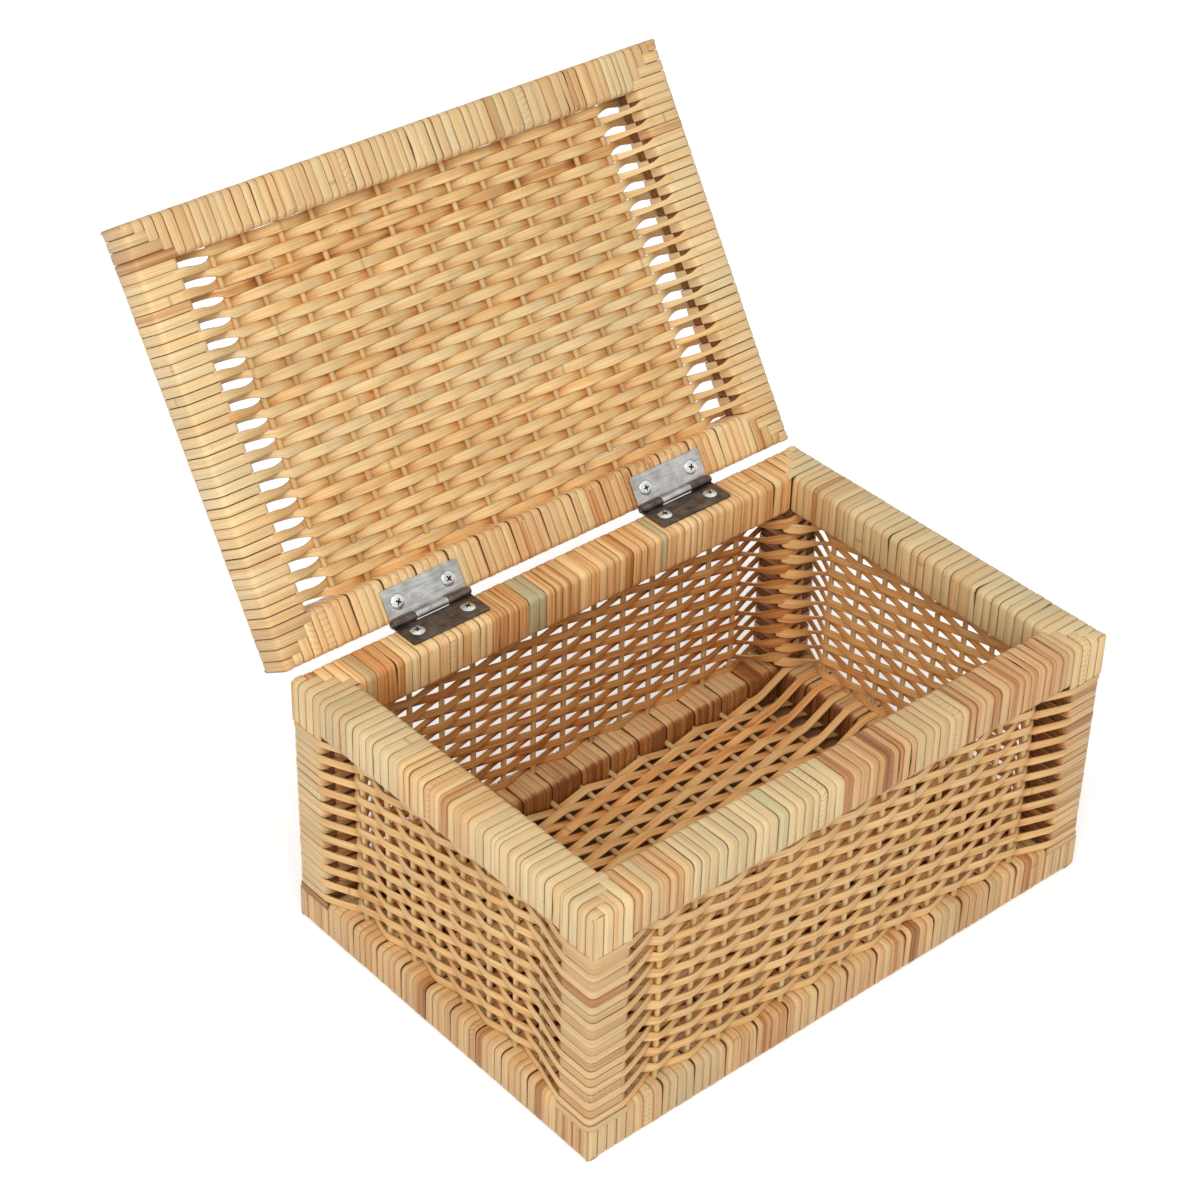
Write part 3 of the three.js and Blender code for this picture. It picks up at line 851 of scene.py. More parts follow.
@dataclass
class BoundRail:
    """A square rail wound with peel, its corner strips stepped like stairs over the mitre."""

    name: str
    place: RailPlace
    winding: Winding
    hang: Hang
    covers_diagonal: bool
    stakes: tuple[float, ...]
    presses: tuple[tuple[float, float], ...]
    lot: PeelLot
    rows: tuple[float, ...] = ()
    corner: float = BODY_SECTION
    press_reach: float = 11.0
    press_gap: float = 1.15
    least_press: float = 0.3
    pitch: float = 5.4
    width_spread: float = 0.2
    width_limits: tuple[float, float] = (0.62, 1.6)
    gap: float = 0.05
    wide_gap_chance: float = 0.16
    wide_gap: tuple[float, float] = (0.2, 0.5)
    fine_gap: tuple[float, float] = (0.0, 0.1)
    lean: float = 0.3
    lean_run: float = 45.0
    lean_spread: float = 0.05
    wobble: float = 0.08
    plain_lift: tuple[float, float] = (-0.14, 0.1)
    parted_chance: float = 0.2
    parting: tuple[float, float] = (0.5, 1.1)
    parting_angle: float = 0.5
    bundle_pitch: float = 5.3
    bundle_spread: float = 0.13
    bundle_lean: float = 0.06
    bundle_lift: tuple[float, float] = (-0.12, 0.12)
    end_gap: float = 0.1
    row_lift: tuple[float, float] = (-0.66, -0.44)
    row_widening: tuple[float, float] = (-0.08, 0.14)
    tuck: float = 1.5
    tuck_depth: float = 1.1
    step_gap: float = 0.12
    step_lift: tuple[float, float] = (-0.08, 0.08)
    edge_gap: float = 0.7
    edge_ends: tuple[float, float] = (1.3, 2.3)
    edge_tuck_depth: float = 0.7
    post_ends: tuple[float, float] = (0.2, 1.2)
    wall_ends: tuple[float, float] = (3.6, 4.4)

    def strips(self) -> StripMesh:
        """Winds the whole rail.

        Returns:
            The rail's strips.
        """
        mesh = StripMesh()
        self.wind_corners(mesh)
        if self.winding is Winding.PLAIN:
            self.wind_plain(mesh)
        elif self.winding is Winding.BUNDLED:
            self.wind_bundles(mesh)
        else:
            self.wind_rows(mesh)
        return mesh

    def loop(self) -> list[Turn]:
        """The path all the way round the rail."""
        half = self.place.half
        return path_round([(-half, -half), (-half, half), (half, half), (half, -half)], closed=True)

    def tint(self, middle: float) -> Tint:
        """The tint of the next strip, with the tone and hue of any odd strip that belongs there.

        Args:
            middle: the strip's place along the rail

        Returns:
            The tint.
        """
        tint = self.lot.draw()
        for low, high, tone, hue in RAIL_ACCENTS.get(self.name, ()):
            if low <= middle < high:
                return replace(tint, tone=tone, hue=hue)
        return tint

    def wind_plain(self, mesh: StripMesh) -> None:
        """Lays full turns side by side from corner to corner, some leaning and some parted.

        Args:
            mesh: what the strips are added to
        """
        dice = random.Random(self.lot.seed + 1)
        clear = self.place.run - 2 * self.corner
        least, most = self.width_limits
        count = round(clear / self.pitch)
        shares = [min(max(1 + dice.gauss(0, self.width_spread), least), most) for _ in range(count)]
        edges = [self.corner]
        for share in shares:
            edges.append(edges[-1] + clear * share / sum(shares))
        turns = self.loop()
        for low, high in zip(edges, edges[1:]):
            wide = dice.random() < self.wide_gap_chance
            gap = self.gap + dice.uniform(*(self.wide_gap if wide else self.fine_gap))
            middle, width = (low + high) / 2, high - low - gap
            drift = noise.noise(Vector((middle / self.lean_run, self.lot.seed, 0.5)))
            lean = self.lean * drift + dice.gauss(0, self.lean_spread)
            start = dice.uniform(0, math.tau)
            lift = dice.uniform(*self.plain_lift)
            parted = dice.uniform(*self.parting) if dice.random() < self.parted_chance else 0.0
            knots = []
            for turn in turns:
                bearing = math.atan2(turn.point.y, turn.point.x)
                shift = lean * math.sin(bearing) + self.wobble * math.sin(2 * bearing + start)
                off_start = (bearing - start + math.pi) % math.tau - math.pi
                parting = parted * math.exp(-((off_start / self.parting_angle) ** 2))
                knots.append(self.place.knot(turn, middle + shift + parting / 2, width - parting, lift))
            mesh.add(knots, PEEL, self.tint(middle), closed=True)

    def squeeze(self, point: Vector) -> float:
        """How wide the stakes press the gap between two bundles, at a point of the rail's cut."""
        nearest = min((point - Vector(press)).length for press in self.presses)
        return self.least_press + self.press_gap * math.exp(-((nearest / self.press_reach) ** 2))

    def wind_bundles(self, mesh: StripMesh) -> None:
        """Lays full turns in bundles that the stakes press apart.

        Args:
            mesh: what the strips are added to
        """
        dice = random.Random(self.lot.seed + 2)
        limits = [self.corner, *self.stakes, self.place.run - self.corner]
        turns = self.loop()
        for number, (low, high) in enumerate(zip(limits, limits[1:])):
            count = max(3, round((high - low) / self.bundle_pitch))
            shares = [1 + dice.gauss(0, self.bundle_spread) for _ in range(count)]
            passed = 0.0
            for share in shares:
                lift = dice.uniform(*self.bundle_lift)
                lean = dice.gauss(0, self.bundle_lean)
                knots = []
                for turn in turns:
                    pressed = self.squeeze(turn.point) / 2
                    first = low + (pressed if number > 0 else self.end_gap)
                    last = high - (pressed if number < len(limits) - 2 else self.end_gap)
                    step = (last - first) / sum(shares)
                    middle = first + (passed + share / 2) * step
                    slant = lean * math.sin(math.atan2(turn.point.y, turn.point.x))
                    knots.append(self.place.knot(turn, middle + slant, share * step - self.gap, lift))
                mesh.add(knots, PEEL, self.tint(middle), closed=True)
                passed += share

    def wind_rows(self, mesh: StripMesh) -> None:
        """Lays the turns of a woven panel's rows, which leave by the upper face and the underside in turn.

        Args:
            mesh: what the strips are added to
        """
        half = self.place.half
        dice = random.Random(self.lot.seed + 3)
        pitch = self.rows[1] - self.rows[0]
        for number, row in enumerate(self.rows):
            top = half if number % 2 == 0 else -half
            corners = [(WEAVER_SEAT - half, top), (half, top), (half, -top), (-half, -top), (-half, 0.0)]
            turns = path_round(corners if top > 0 else corners[::-1])
            lift = dice.uniform(*self.row_lift)
            width = abs(pitch) - self.gap + dice.gauss(*self.row_widening)
            knots = [self.place.knot(turn, row, width, lift) for turn in turns]
            mesh.add(knots, WEAVER, ROW_TINTS["lid"][number])

    def wind_corners(self, mesh: StripMesh) -> None:
        """Lays the strips over both corner squares, each ending on the mitre's stair.

        Args:
            mesh: what the strips are added to
        """
        limits = [*STAIR_STEPS, self.corner]
        dice = random.Random(self.lot.seed + 4)
        for from_far_end in (False, True):
            for low, high in zip(limits, limits[1:]):
                turns, lifts = self.corner_path(high if self.covers_diagonal else low)
                near_gap = self.edge_gap if low == 0 and self.covers_diagonal else self.step_gap
                near, far = low + near_gap, high - self.step_gap
                middle = (near + far) / 2
                distance = self.place.run - middle if from_far_end else middle
                lift = dice.uniform(*self.step_lift)
                knots = [
                    self.place.knot(turn, distance, far - near, lift + own) for turn, own in zip(turns, lifts)
                ]
                mesh.add(knots, PEEL, self.lot.draw())

    def corner_path(self, reach: float) -> tuple[list[Turn], list[float]]:
        """The path of a corner strip and how far it stands off the rail along it.

        Args:
            reach: how far from the outer face the strip goes on before it tucks under

        Returns:
            The path's points and one lift for each.
        """
        half = self.place.half
        beyond = half - reach - self.tuck
        upper = [(beyond, half), (half - reach, half), (half, half)]
        lower = [(half, -half), (half - reach, -half), (beyond, -half)]
        depth = self.tuck_depth
        if reach == 0:
            upper = [(half, half - end) for end in self.edge_ends]
            lower = [(half, end - half) for end in reversed(self.edge_ends)]
            depth = self.edge_tuck_depth
        if self.hang is Hang.TOP:
            lower = [(half, -half - end) for end in self.post_ends]
        if self.hang is Hang.BOTTOM:
            upper = [(half, half - end) for end in self.wall_ends]
        turns = path_round([*upper, *lower])
        lifts = [0.0] * len(turns)
        lifts[0] = 0.0 if self.hang is Hang.BOTTOM else -depth
        lifts[-1] = 0.0 if self.hang is Hang.TOP else -depth
        return turns, lifts


@dataclass
class CornerPost:
    """A square post wound with peel, whose every second band runs on into the walls beside it."""

    side_x: int
    side_y: int
    lot: PeelLot
    band: float = 5.1
    band_spread: float = 0.4
    band_limits: tuple[float, float] = (-0.35, 0.8)
    band_lift: tuple[float, float] = (-0.12, 0.12)
    wobble: float = 0.12
    slope_spread: float = 0.012
    last_lift: float = 0.45
    weaver_sink: float = 0.55
    weaver_tone: float = 0.92
    # Painted shade on the post's inner faces.
    inner_painted_shade: float = 0.3
    foot: float = 22.3
    foot_width: float = 4.4
    foot_lift: float = 0.5
    foot_inset: float = 0.2

    def knot(self, turn: Turn, height: float, width: float, lift: float) -> Knot:
        """A place on the post's surface.

        Args:
            turn: the point in the post's cut
            height: its height in the box
            width: the strip's width
            lift: how far it stands off the post

        Returns:
            The place.
        """
        outward = Vector((self.side_x * turn.normal.x, self.side_y * turn.normal.y, 0.0))
        x = (BOX_LENGTH - BODY_SECTION) / 2 + turn.point.x
        y = (BOX_DEPTH - BODY_SECTION) / 2 + turn.point.y
        point = Vector((self.side_x * x, self.side_y * y, height))
        # Painted shade on the faces that look into the box.
        tan = self.inner_painted_shade if min(turn.normal) < FACING_IN else 0.0
        return Knot(point + outward * lift, outward, width, tan, Z)

    def strips(self) -> StripMesh:
        """Winds the post.

        Returns:
            The post's strips.
        """
        mesh = StripMesh()
        dice = random.Random(self.lot.seed)
        half = BODY_SECTION / 2
        loop = path_round([(-half, -half), (-half, half), (half, half), (half, -half)], closed=True)
        outer = path_round([(WEAVER_SEAT - half, half), (half, half), (half, WEAVER_SEAT - half)])
        least, most = self.band_limits
        for number, row in enumerate(BODY_ROWS):
            height, width, proud = row - LAST_ROW_DROP, LAST_ROW_WIDTH, self.last_lift
            if number < len(BODY_ROWS) - 1:
                height = row
                width = self.band + min(max(dice.gauss(0, self.band_spread), least), most)
                proud = dice.uniform(*self.band_lift)
            wave = dice.uniform(0, math.tau)
            if leaves(number):
                slope = dice.gauss(0, self.slope_spread)
                sunk = proud - self.weaver_sink
                knots = [
                    self.knot(turn, height + slope * (turn.point.x - turn.point.y), width, sunk)
                    for turn in outer
                ]
                tint = ROW_TINTS["walls"][number]
                mesh.add(knots, WEAVER, replace(tint, tone=self.weaver_tone * tint.tone))
                continue
            bearings = [math.atan2(turn.point.y, turn.point.x) for turn in loop]
            knots = [
                self.knot(turn, height + self.wobble * math.sin(bearing + wave), width, proud)
                for turn, bearing in zip(loop, bearings)
            ]
            mesh.add(knots, PEEL, self.lot.draw(), closed=True)
        end = self.foot_inset - half
        under = path_round([(end, half), (half, half), (half, end)])
        knots = [self.knot(turn, self.foot, self.foot_width, self.foot_lift) for turn in under]
        mesh.add(knots, PEEL, self.lot.draw())
        return mesh


def leaves(row: int) -> bool:
    """Whether a wall's row ends on the outer faces of the posts."""
    return row % 2 == 0


@dataclass
class WovenPanel:
    """A panel of flat weavers over round stakes. Its own ways are along, up and out."""

    middle: Vector
    along: Vector
    up: Vector
    out: Vector
    reach: float
    half_height: float
    rows: tuple[float, ...]
    tints: Sequence[Tint]
    width: float
    narrow_width: float
    stakes: tuple[float, ...] = LONG_STAKES
    parity: int = 0
    swing: float = 2.25
    steps: int = 8
    sway: float = 0.3
    seed: int = 0
    shown_side: int = 1
    # Painted shade on the parts of the rows that pass behind the stakes, seen from the shown side.
    rear_painted_shade: float = 0.2
    bow: float = 0.93
    tilt: float = 0.12
    widening: float = 0.8
    stake_steps: int = 12
    stake_width: float = 3.2
    stake_overrun: float = 1.5
    stake_bend: float = 0.5

    def at(self, x: float, y: float, z: float) -> Vector:
        """A point in the box's millimetres."""
        return self.middle + self.along * x + self.up * y + self.out * z

    def way(self, x: float, y: float, z: float) -> Vector:
        """A way in the box's own space."""
        return (self.along * x + self.up * y + self.out * z).normalized()

    def in_front(self, row: int, stake: int) -> bool:
        """Whether a row passes a stake on the panel's outer side."""
        return (row + stake + self.parity) % 2 == 0

    def row_at(self, row: int, x: float) -> float:
        """The height of a row at a place along it, with its slight sway.

        Args:
            row: the row's number
            x: the place along the panel, from its middle

        Returns:
            The height over the panel's middle.
        """
        y = self.rows[row]
        together = noise.noise(Vector((x / 60, y / 18, self.seed + 0.3)))
        alone = noise.noise(Vector((x / 34, row * 3.7, self.seed + 9.1)))
        return y + self.sway * (together + 0.5 * alone)

    def weave_knots(self, row: int) -> list[Knot]:
        """The knots of a row between its first and last stake.

        Args:
            row: the row's number

        Returns:
            The knots.
        """
        knots = []
        pitch = self.stakes[1] - self.stakes[0]
        front = 1 if self.in_front(row, 0) else -1
        for step in range((len(self.stakes) - 1) * self.steps + 1):
            x = self.stakes[0] + pitch * step / self.steps
            wave = math.cos(math.pi * step / self.steps)
            depth = front * self.swing * math.asin(self.bow * wave) / math.asin(self.bow)
            tilt = self.tilt * noise.noise(Vector((x / 25, row * 2.3, self.seed + 5.5)))
            width = self.narrow_width + (self.width - self.narrow_width) * abs(wave) ** self.widening
            # Painted shade: darker and browner where the row passes behind the stakes.
            tan = self.rear_painted_shade * max(0.0, -self.shown_side * depth / self.swing)
            knots.append(Knot(self.at(x, self.row_at(row, x), depth), self.way(0, tilt, 1), width, tan))
        return knots

    def end_knots(self, row: int, side: int) -> list[Knot]:
        """The knots of a row's end, from its tip to beside the last stake.

        Args:
            row: the row's number, not used here
            side: -1 at the low end of the way along, 1 at the high end, not used here

        Returns:
            The knots, none for a panel without ends.
        """
        return []

    def strips(self) -> StripMesh:
        """Weaves the panel.

        Returns:
            The panel's strips: weavers in the first material and stakes in the second.
        """
        mesh = StripMesh()
        for row, tint in enumerate(self.tints):
            knots = [*self.end_knots(row, -1), *self.weave_knots(row), *reversed(self.end_knots(row, 1))]
            mesh.add(squared_up(eased(knots)), WEAVER, tint)
        lot = PeelLot(seed=self.seed + 70, mean_hue=0.5, hue_spread=0.2)
        for number, x in enumerate(self.stakes):
            knots = []
            for step in range(self.stake_steps + 1):
                y = (self.half_height + self.stake_overrun) * (2 * step / self.stake_steps - 1)
                bend = self.stake_bend * noise.noise(Vector((y / 60, number * 4.1, self.seed + 2.2)))
                knots.append(Knot(self.at(x + bend, y, 0.0), self.way(0, 0, 1), self.stake_width))
            mesh.add(squared_up(knots), STAKE, lot.draw(), slot=1)
        return mesh


@dataclass
class WallPanel(WovenPanel):
    """A wall, whose rows end over the posts' outer faces or in a twist over their inner corner."""

    setback: float = LONG_SETBACK
    inner_end: tuple = CLIMBING_END
    weaver_sink: float = 0.55
    last_sink: float = 0.1
    flat_run: float = 2.2
    bend_run: float = 3.5
    bend_drop: float = 4.4
    bend_trim: float = 0.25
    slope_run: float = 1.5
    free_share: float = 0.4
    free_rise: float = 0.43

    def end_knots(self, row: int, side: int) -> list[Knot]:
        """The knots of a row's end."""
        return self.outer_knots(row, side) if leaves(row) else self.inner_knots(row, side)

    def outer_knots(self, row: int, side: int) -> list[Knot]:
        """The knots of an end that lies on the post's outer face.

        Args:
            row: the row's number
            side: -1 at the low end of the way along, 1 at the high end

        Returns:
            The knots.
        """
        y = self.rows[row]
        last = row == len(self.rows) - 1
        stake = 0 if side < 0 else len(self.stakes) - 1
        pass_depth = self.swing if self.in_front(row, stake) else -self.swing
        face = self.setback - (self.last_sink if last else self.weaver_sink)
        low = y - (LAST_ROW_DROP if last else 0.0)
        wide = LAST_ROW_WIDTH if last else self.width
        near = abs(self.stakes[0])
        gap = self.reach - near
        slope = (face - pass_depth) / (gap + self.slope_run)
        table = (
            (self.reach + WEAVER_SEAT, low, face, 0.0, wide),
            (self.reach + self.flat_run, low, face, 0.0, wide),
            (self.reach - self.bend_run, low, face - self.bend_drop * slope, slope, wide - self.bend_trim),
            (near + self.free_share * gap, y, pass_depth + self.free_rise * gap * slope, slope, self.width),
        )
        return [
            Knot(self.at(side * x, height, depth), self.way(side * lean, 0, 1), width)
            for x, height, depth, lean, width in table
        ]

    def inner_knots(self, row: int, side: int) -> list[Knot]:
        """The knots of an end that twists over the post's inner corner and tucks under beyond it.

        Args:
            row: the row's number
            side: -1 at the low end of the way along, 1 at the high end

        Returns:
            The knots.
        """
        y = self.rows[row]
        depth = self.setback - BODY_SECTION
        return [
            Knot(
                self.at(side * (self.reach - inward), y + rise, depth - boxward),
                self.way(side * face[0], -face[2], face[1]),
                width,
            )
            for inward, boxward, rise, width, face in self.inner_end
        ]


@dataclass
class FloorPanel(WovenPanel):
    """The floor, whose rows end over the side rails' inner edge or in their inner face."""

    def end_knots(self, row: int, side: int) -> list[Knot]:
        """The knots of a row's end.

        Args:
            row: the row's number
            side: -1 at the low end of the way along, 1 at the high end

        Returns:
            The knots.
        """
        y = self.rows[row]
        return [
            Knot(self.at(side * (self.reach + past), y, level), self.way(-side * lean, 0, 1), width)
            for past, level, lean, width in FLOOR_ENDS[row % 2]
        ]


@dataclass
class LidPanel(WovenPanel):
    """The lid's panel, whose rows leave the side rails by one face and the other in turn."""

    climb: float = 0.8
    climb_rows: int = 4
    face_level: float = 11.45
    rail_width: float = 5.2

    def row_at(self, row: int, x: float) -> float:
        """The height of a row at a place along it."""
        return super().row_at(row, x) + self.climb * min(1.0, (row + 1) / self.climb_rows)

    def end_knots(self, row: int, side: int) -> list[Knot]:
        """The knots of a row's end.

        Args:
            row: the row's number
            side: -1 at the low end of the way along, 1 at the high end

        Returns:
            The knots.
        """
        face = -1 if self.in_front(row, 0) else 1
        gap = self.reach - abs(self.stakes[0])
        table = [(past, self.face_level, 0.0, self.rail_width) for past in (WEAVER_SEAT, 1.0)]
        table += [(-share * gap, *rest) for share, *rest in LID_FREE_ENDS[(face, side)]]
        return [
            Knot(
                self.at(side * (self.reach + past), self.rows[row] + climb, face * depth),
                self.way(0, 0, 1),
                width,
            )
            for past, depth, climb, width in table
        ]


def block(mesh: bmesh.types.BMesh, low: Sequence[float], high: Sequence[float]) -> None:
    """Adds a block between two corners.

    Args:
        mesh: what the block is added to
        low: its lowest corner
        high: its highest corner
    """
    size = [top - foot for foot, top in zip(low, high)]
    middle = [(top + foot) / 2 for foot, top in zip(low, high)]
    place = Matrix.Translation(middle) @ Matrix.Diagonal((*size, 1.0))
    bmesh.ops.create_cube(mesh, size=1.0, matrix=place)


def eased_edges(mesh: bmesh.types.BMesh, edges: Sequence, offset: float, segments: int) -> None:
    """Rounds edges of a mesh."""
    bmesh.ops.bevel(
        mesh, geom=edges, offset=offset, segments=segments, profile=0.5, affect="EDGES", material=-1
    )


def sharp_edges(mesh: bmesh.types.BMesh) -> list[bmesh.types.BMEdge]:
    """The edges of a mesh that are sharp enough to round."""
    return [edge for edge in mesh.edges if edge.calc_face_angle(0.0) > SHARP_ANGLE]


def turned(profile: Sequence[tuple[float, float]], steps: int) -> bmesh.types.BMesh:
    """Spins a profile about the Z axis.

    Args:
        profile: radii and heights, starting and ending on the axis
        steps: the number of sides

    Returns:
        The turned solid.
    """
    mesh = bmesh.new()
    verts = [bmesh.ops.create_vert(mesh, co=(radius, 0.0, height))["vert"][0] for radius, height in profile]
    edges = [mesh.edges.new(pair) for pair in zip(verts, verts[1:])]
    bmesh.ops.spin(mesh, geom=edges, cent=(0, 0, 0), axis=Z, angle=math.tau, steps=steps, use_merge=True)
    bmesh.ops.remove_doubles(mesh, verts=mesh.verts, dist=0.001)
    bmesh.ops.recalc_face_normals(mesh, faces=mesh.faces)
    return mesh


def carved(shape: bmesh.types.BMesh, cutter: bmesh.types.BMesh) -> bmesh.types.BMesh:
    """One shape less another. Both are used up.

    Args:
        shape: what is cut
        cutter: what cuts it

    Returns:
        The cut mesh.
    """
    kept, tool = shown("shape", mesh_data("shape", shape)), shown("cutter", mesh_data("cutter", cutter))
    cut = kept.modifiers.new("cut", "BOOLEAN")
    cut.operation = "DIFFERENCE"
    cut.solver = "EXACT"
    cut.use_self = True
    cut.object = tool
    bpy.context.view_layer.update()
    seen = kept.evaluated_get(bpy.context.evaluated_depsgraph_get())
    result = bmesh.new()
    result.from_mesh(seen.to_mesh())
    seen.to_mesh_clear()
    for thing in (kept, tool):
        data = thing.data
        bpy.data.objects.remove(thing)
        bpy.data.meshes.remove(data)
    return result


def shaded(mesh: bmesh.types.BMesh, place: Matrix) -> bmesh.types.BMesh:
    """Puts a metal mesh in its place, smooth but for its sharp edges.

    Args:
        mesh: the mesh in millimetres
        place: the matrix to the part's metres

    Returns:
        The same mesh.
    """
    bmesh.ops.transform(mesh, matrix=place, verts=mesh.verts)
    for face in mesh.faces:
        face.smooth = True
    for edge in mesh.edges:
        edge.smooth = edge.calc_face_angle(0.0) < SMOOTH_ANGLE
    return mesh


@dataclass
class ButtHinge:
    """One butt hinge: two leaves with rolled knuckles, a pin, and four raised countersunk screws."""

    length: float = 50.0
    leaf_depth: float = 18.5
    leaf_thickness: float = 1.2
    knuckle_radius: float = 2.2
    knuckle_bore: float = 1.35
    middle_knuckle: float = 21.0
    knuckle_gap: float = 0.3
    pin_radius: float = 1.2
    pin_head_radius: float = 1.8
    pin_head: float = 1.0
    screw_across: float = 33.0
    screw_inset: float = 10.0
    head_radius: float = 4.0
    head_height: float = 0.8
    shank_radius: float = 1.7
    shank_end: float = -13.0
    screw_tip: float = -16.0
    hole_radius: float = 4.3
    roll_degrees: float = 318.0
    roll_steps: int = 22
    knuckle_rounding: float = 0.16
    corner_radius: float = 1.2
    plate_rounding: float = 0.2
    tab_inset: float = 0.02
    tab_overlap: float = 0.8
    overrun: float = 0.4
    recess_arm: tuple[float, float] = (3.1, 0.82)
    recess_radii: tuple[float, float] = (0.62, 1.05)
    recess_height: float = 2.0
    recess_share: float = 0.72
    recess_floor: float = -0.6
    recess_lip: float = 0.1
    dome_fall: float = 0.82
    neck: float = -1.2
    pin_overrun: float = 0.15
    hole_sides: int = 28
    pin_sides: int = 24
    screw_sides: int = 32

    def knuckles(self, own: Sequence[tuple[float, float]]) -> bmesh.types.BMesh:
        """Rolls the knuckles of a leaf round the axis.

        Args:
            own: the low and high ends of each knuckle

        Returns:
            The knuckles' mesh.
        """
        mesh = bmesh.new()
        for low, high in own:
            verts = bmesh.ops.create_grid(mesh, x_segments=1, y_segments=1, size=0.5)["verts"]
            for vert in verts:
                x = low if vert.co.x < 0 else high
                radius = self.knuckle_radius if vert.co.y < 0 else self.knuckle_bore
                vert.co = Vector((x, 0.0, -radius))
            face = verts[0].link_faces[0]
            edges = list(face.edges)
            bmesh.ops.delete(mesh, geom=[face], context="FACES_ONLY")
            angle = math.radians(self.roll_degrees)
            bmesh.ops.spin(mesh, geom=edges, cent=(0, 0, 0), axis=X, angle=angle, steps=self.roll_steps)
        ends = [edge for edge in mesh.edges if edge.is_boundary]
        bmesh.ops.holes_fill(mesh, edges=ends, sides=0)
        bmesh.ops.recalc_face_normals(mesh, faces=mesh.faces)
        eased_edges(mesh, sharp_edges(mesh), self.knuckle_rounding, 2)
        return mesh

    def leaf(self, own: Sequence[tuple[float, float]]) -> bmesh.types.BMesh:
        """Cuts a leaf's plate with its countersunk holes and its tabs, and adds its knuckles.

        Args:
            own: the low and high ends of each knuckle

        Returns:
            The leaf's mesh.
        """
        half = self.length / 2
        foot = -self.knuckle_radius
        face = foot + self.leaf_thickness
        near = foot - self.knuckle_gap
        mesh = bmesh.new()
        block(mesh, (-half, -self.leaf_depth, foot), (half, near, face))
        outer_corners = [
            edge
            for edge in mesh.edges
            if all(vert.co.y < near - 1 for vert in edge.verts)
            and abs(edge.verts[0].co.z - edge.verts[1].co.z) > 0.5
        ]
        eased_edges(mesh, outer_corners, self.corner_radius, 4)
        eased_edges(mesh, sharp_edges(mesh), self.plate_rounding, 2)
        inset = self.tab_inset
        for low, high in own:
            inner = (low + inset, near - self.tab_overlap, foot + inset)
            block(mesh, inner, (high - inset, 0.0, face - inset))
        cones = bmesh.new()
        for side in (-1, 1):
            made = bmesh.ops.create_cone(
                cones,
                cap_ends=True,
                segments=self.hole_sides,
                radius1=self.hole_radius - self.leaf_thickness - self.overrun,
                radius2=self.hole_radius + self.overrun,
                depth=self.leaf_thickness + 2 * self.overrun,
            )
            spot = (side * self.screw_across / 2, -self.screw_inset, (foot + face) / 2)
            bmesh.ops.translate(cones, vec=spot, verts=made["verts"])
        mesh = carved(mesh, cones)
        rolled = mesh_data("rolled_knuckles", self.knuckles(own))
        mesh.from_mesh(rolled)
        bpy.data.meshes.remove(rolled)
        return mesh

    def body_knuckles(self) -> list[tuple[float, float]]:
        """The two outer knuckles, on the body's leaf."""
        inner = self.middle_knuckle / 2 + self.knuckle_gap
        return [(-self.length / 2, -inner), (inner, self.length / 2)]

    def lid_knuckles(self) -> list[tuple[float, float]]:
        """The middle knuckle, on the lid's leaf."""
        return [(-self.middle_knuckle / 2, self.middle_knuckle / 2)]

    def pin(self) -> bmesh.types.BMesh:
        """Turns the pin with its low domed heads.

        Returns:
            The pin's mesh.
        """
        shaft = self.length / 2 + self.pin_overrun
        top = shaft + self.pin_head
        head = self.pin_head_radius
        upper = [(self.pin_radius, shaft), (head, shaft), (head, top - 0.5), (0.6 * head, top - 0.1)]
        upper.append((0.0, top))
        lower = [(radius, -height) for radius, height in reversed(upper)]
        mesh = turned([*lower, *upper], self.pin_sides)
        bmesh.ops.transform(mesh, matrix=Matrix.Rotation(math.pi / 2, 4, "Y"), verts=mesh.verts)
        return mesh

    def screw(self) -> bmesh.types.BMesh:
        """Turns a raised countersunk screw and cuts the cross into its head.

        Returns:
            The screw's mesh, its head's rim at the origin and its point down.
        """
        radius = self.head_radius
        dome = [(0.0, self.head_height), (0.28, 0.76), (0.54, 0.62), (0.78, 0.38), (0.94, 0.12)]
        dome += [(1.0, -0.02), (1.0, -0.12)]
        thin = self.shank_radius
        shank = ((thin, self.neck), (thin, self.shank_end), (0.0, self.screw_tip))
        mesh = turned([*((share * radius, height) for share, height in dome), *shank], self.screw_sides)
        cross = bmesh.new()
        foot, top = self.recess_radii
        for turn in (0.0, math.pi / 2):
            made = bmesh.ops.create_cone(
                cross, cap_ends=True, segments=4, radius1=foot, radius2=top, depth=self.recess_height
            )
            shape = (
                Matrix.Rotation(turn, 4, "Z")
                @ Matrix.Translation((0.0, 0.0, self.head_height))
                @ Matrix.Diagonal((*self.recess_arm, 1.0, 1.0))
                @ Matrix.Rotation(math.pi / 4, 4, "Z")
            )
            bmesh.ops.transform(cross, matrix=shape, verts=made["verts"])
        mesh = carved(mesh, cross)
        # Faces deep in the cross take the second material, its painted shade.
        for face in mesh.faces:
            middle = face.calc_center_median()
            reach = math.hypot(middle.x, middle.y)
            surface = self.head_height - self.dome_fall * (reach / radius) ** 2
            deep = self.recess_floor < middle.z < surface - self.recess_lip
            face.material_index = 1 if deep and reach < self.recess_share * radius else 0
        return mesh


@dataclass
class WickerPart:
    """A part of the box that is wound and woven on one body."""

    finishes: Finishes
    body: str
    matrix: Matrix

    def put_peel(self, name: str, strips: StripMesh) -> None:
        """Makes a pole's winding a piece."""
        dress = [self.finishes.peel]
        put(f"{name}_peel", strips.finish(self.matrix), dress, self.body, f"{name}_binding")

    def put_weave(self, name: str, strips: StripMesh, stands_for: str) -> None:
        """Makes a woven panel a piece."""
        dress = [self.finishes.weave, self.finishes.stake]
        put(name, strips.finish(self.matrix), dress, self.body, stands_for)


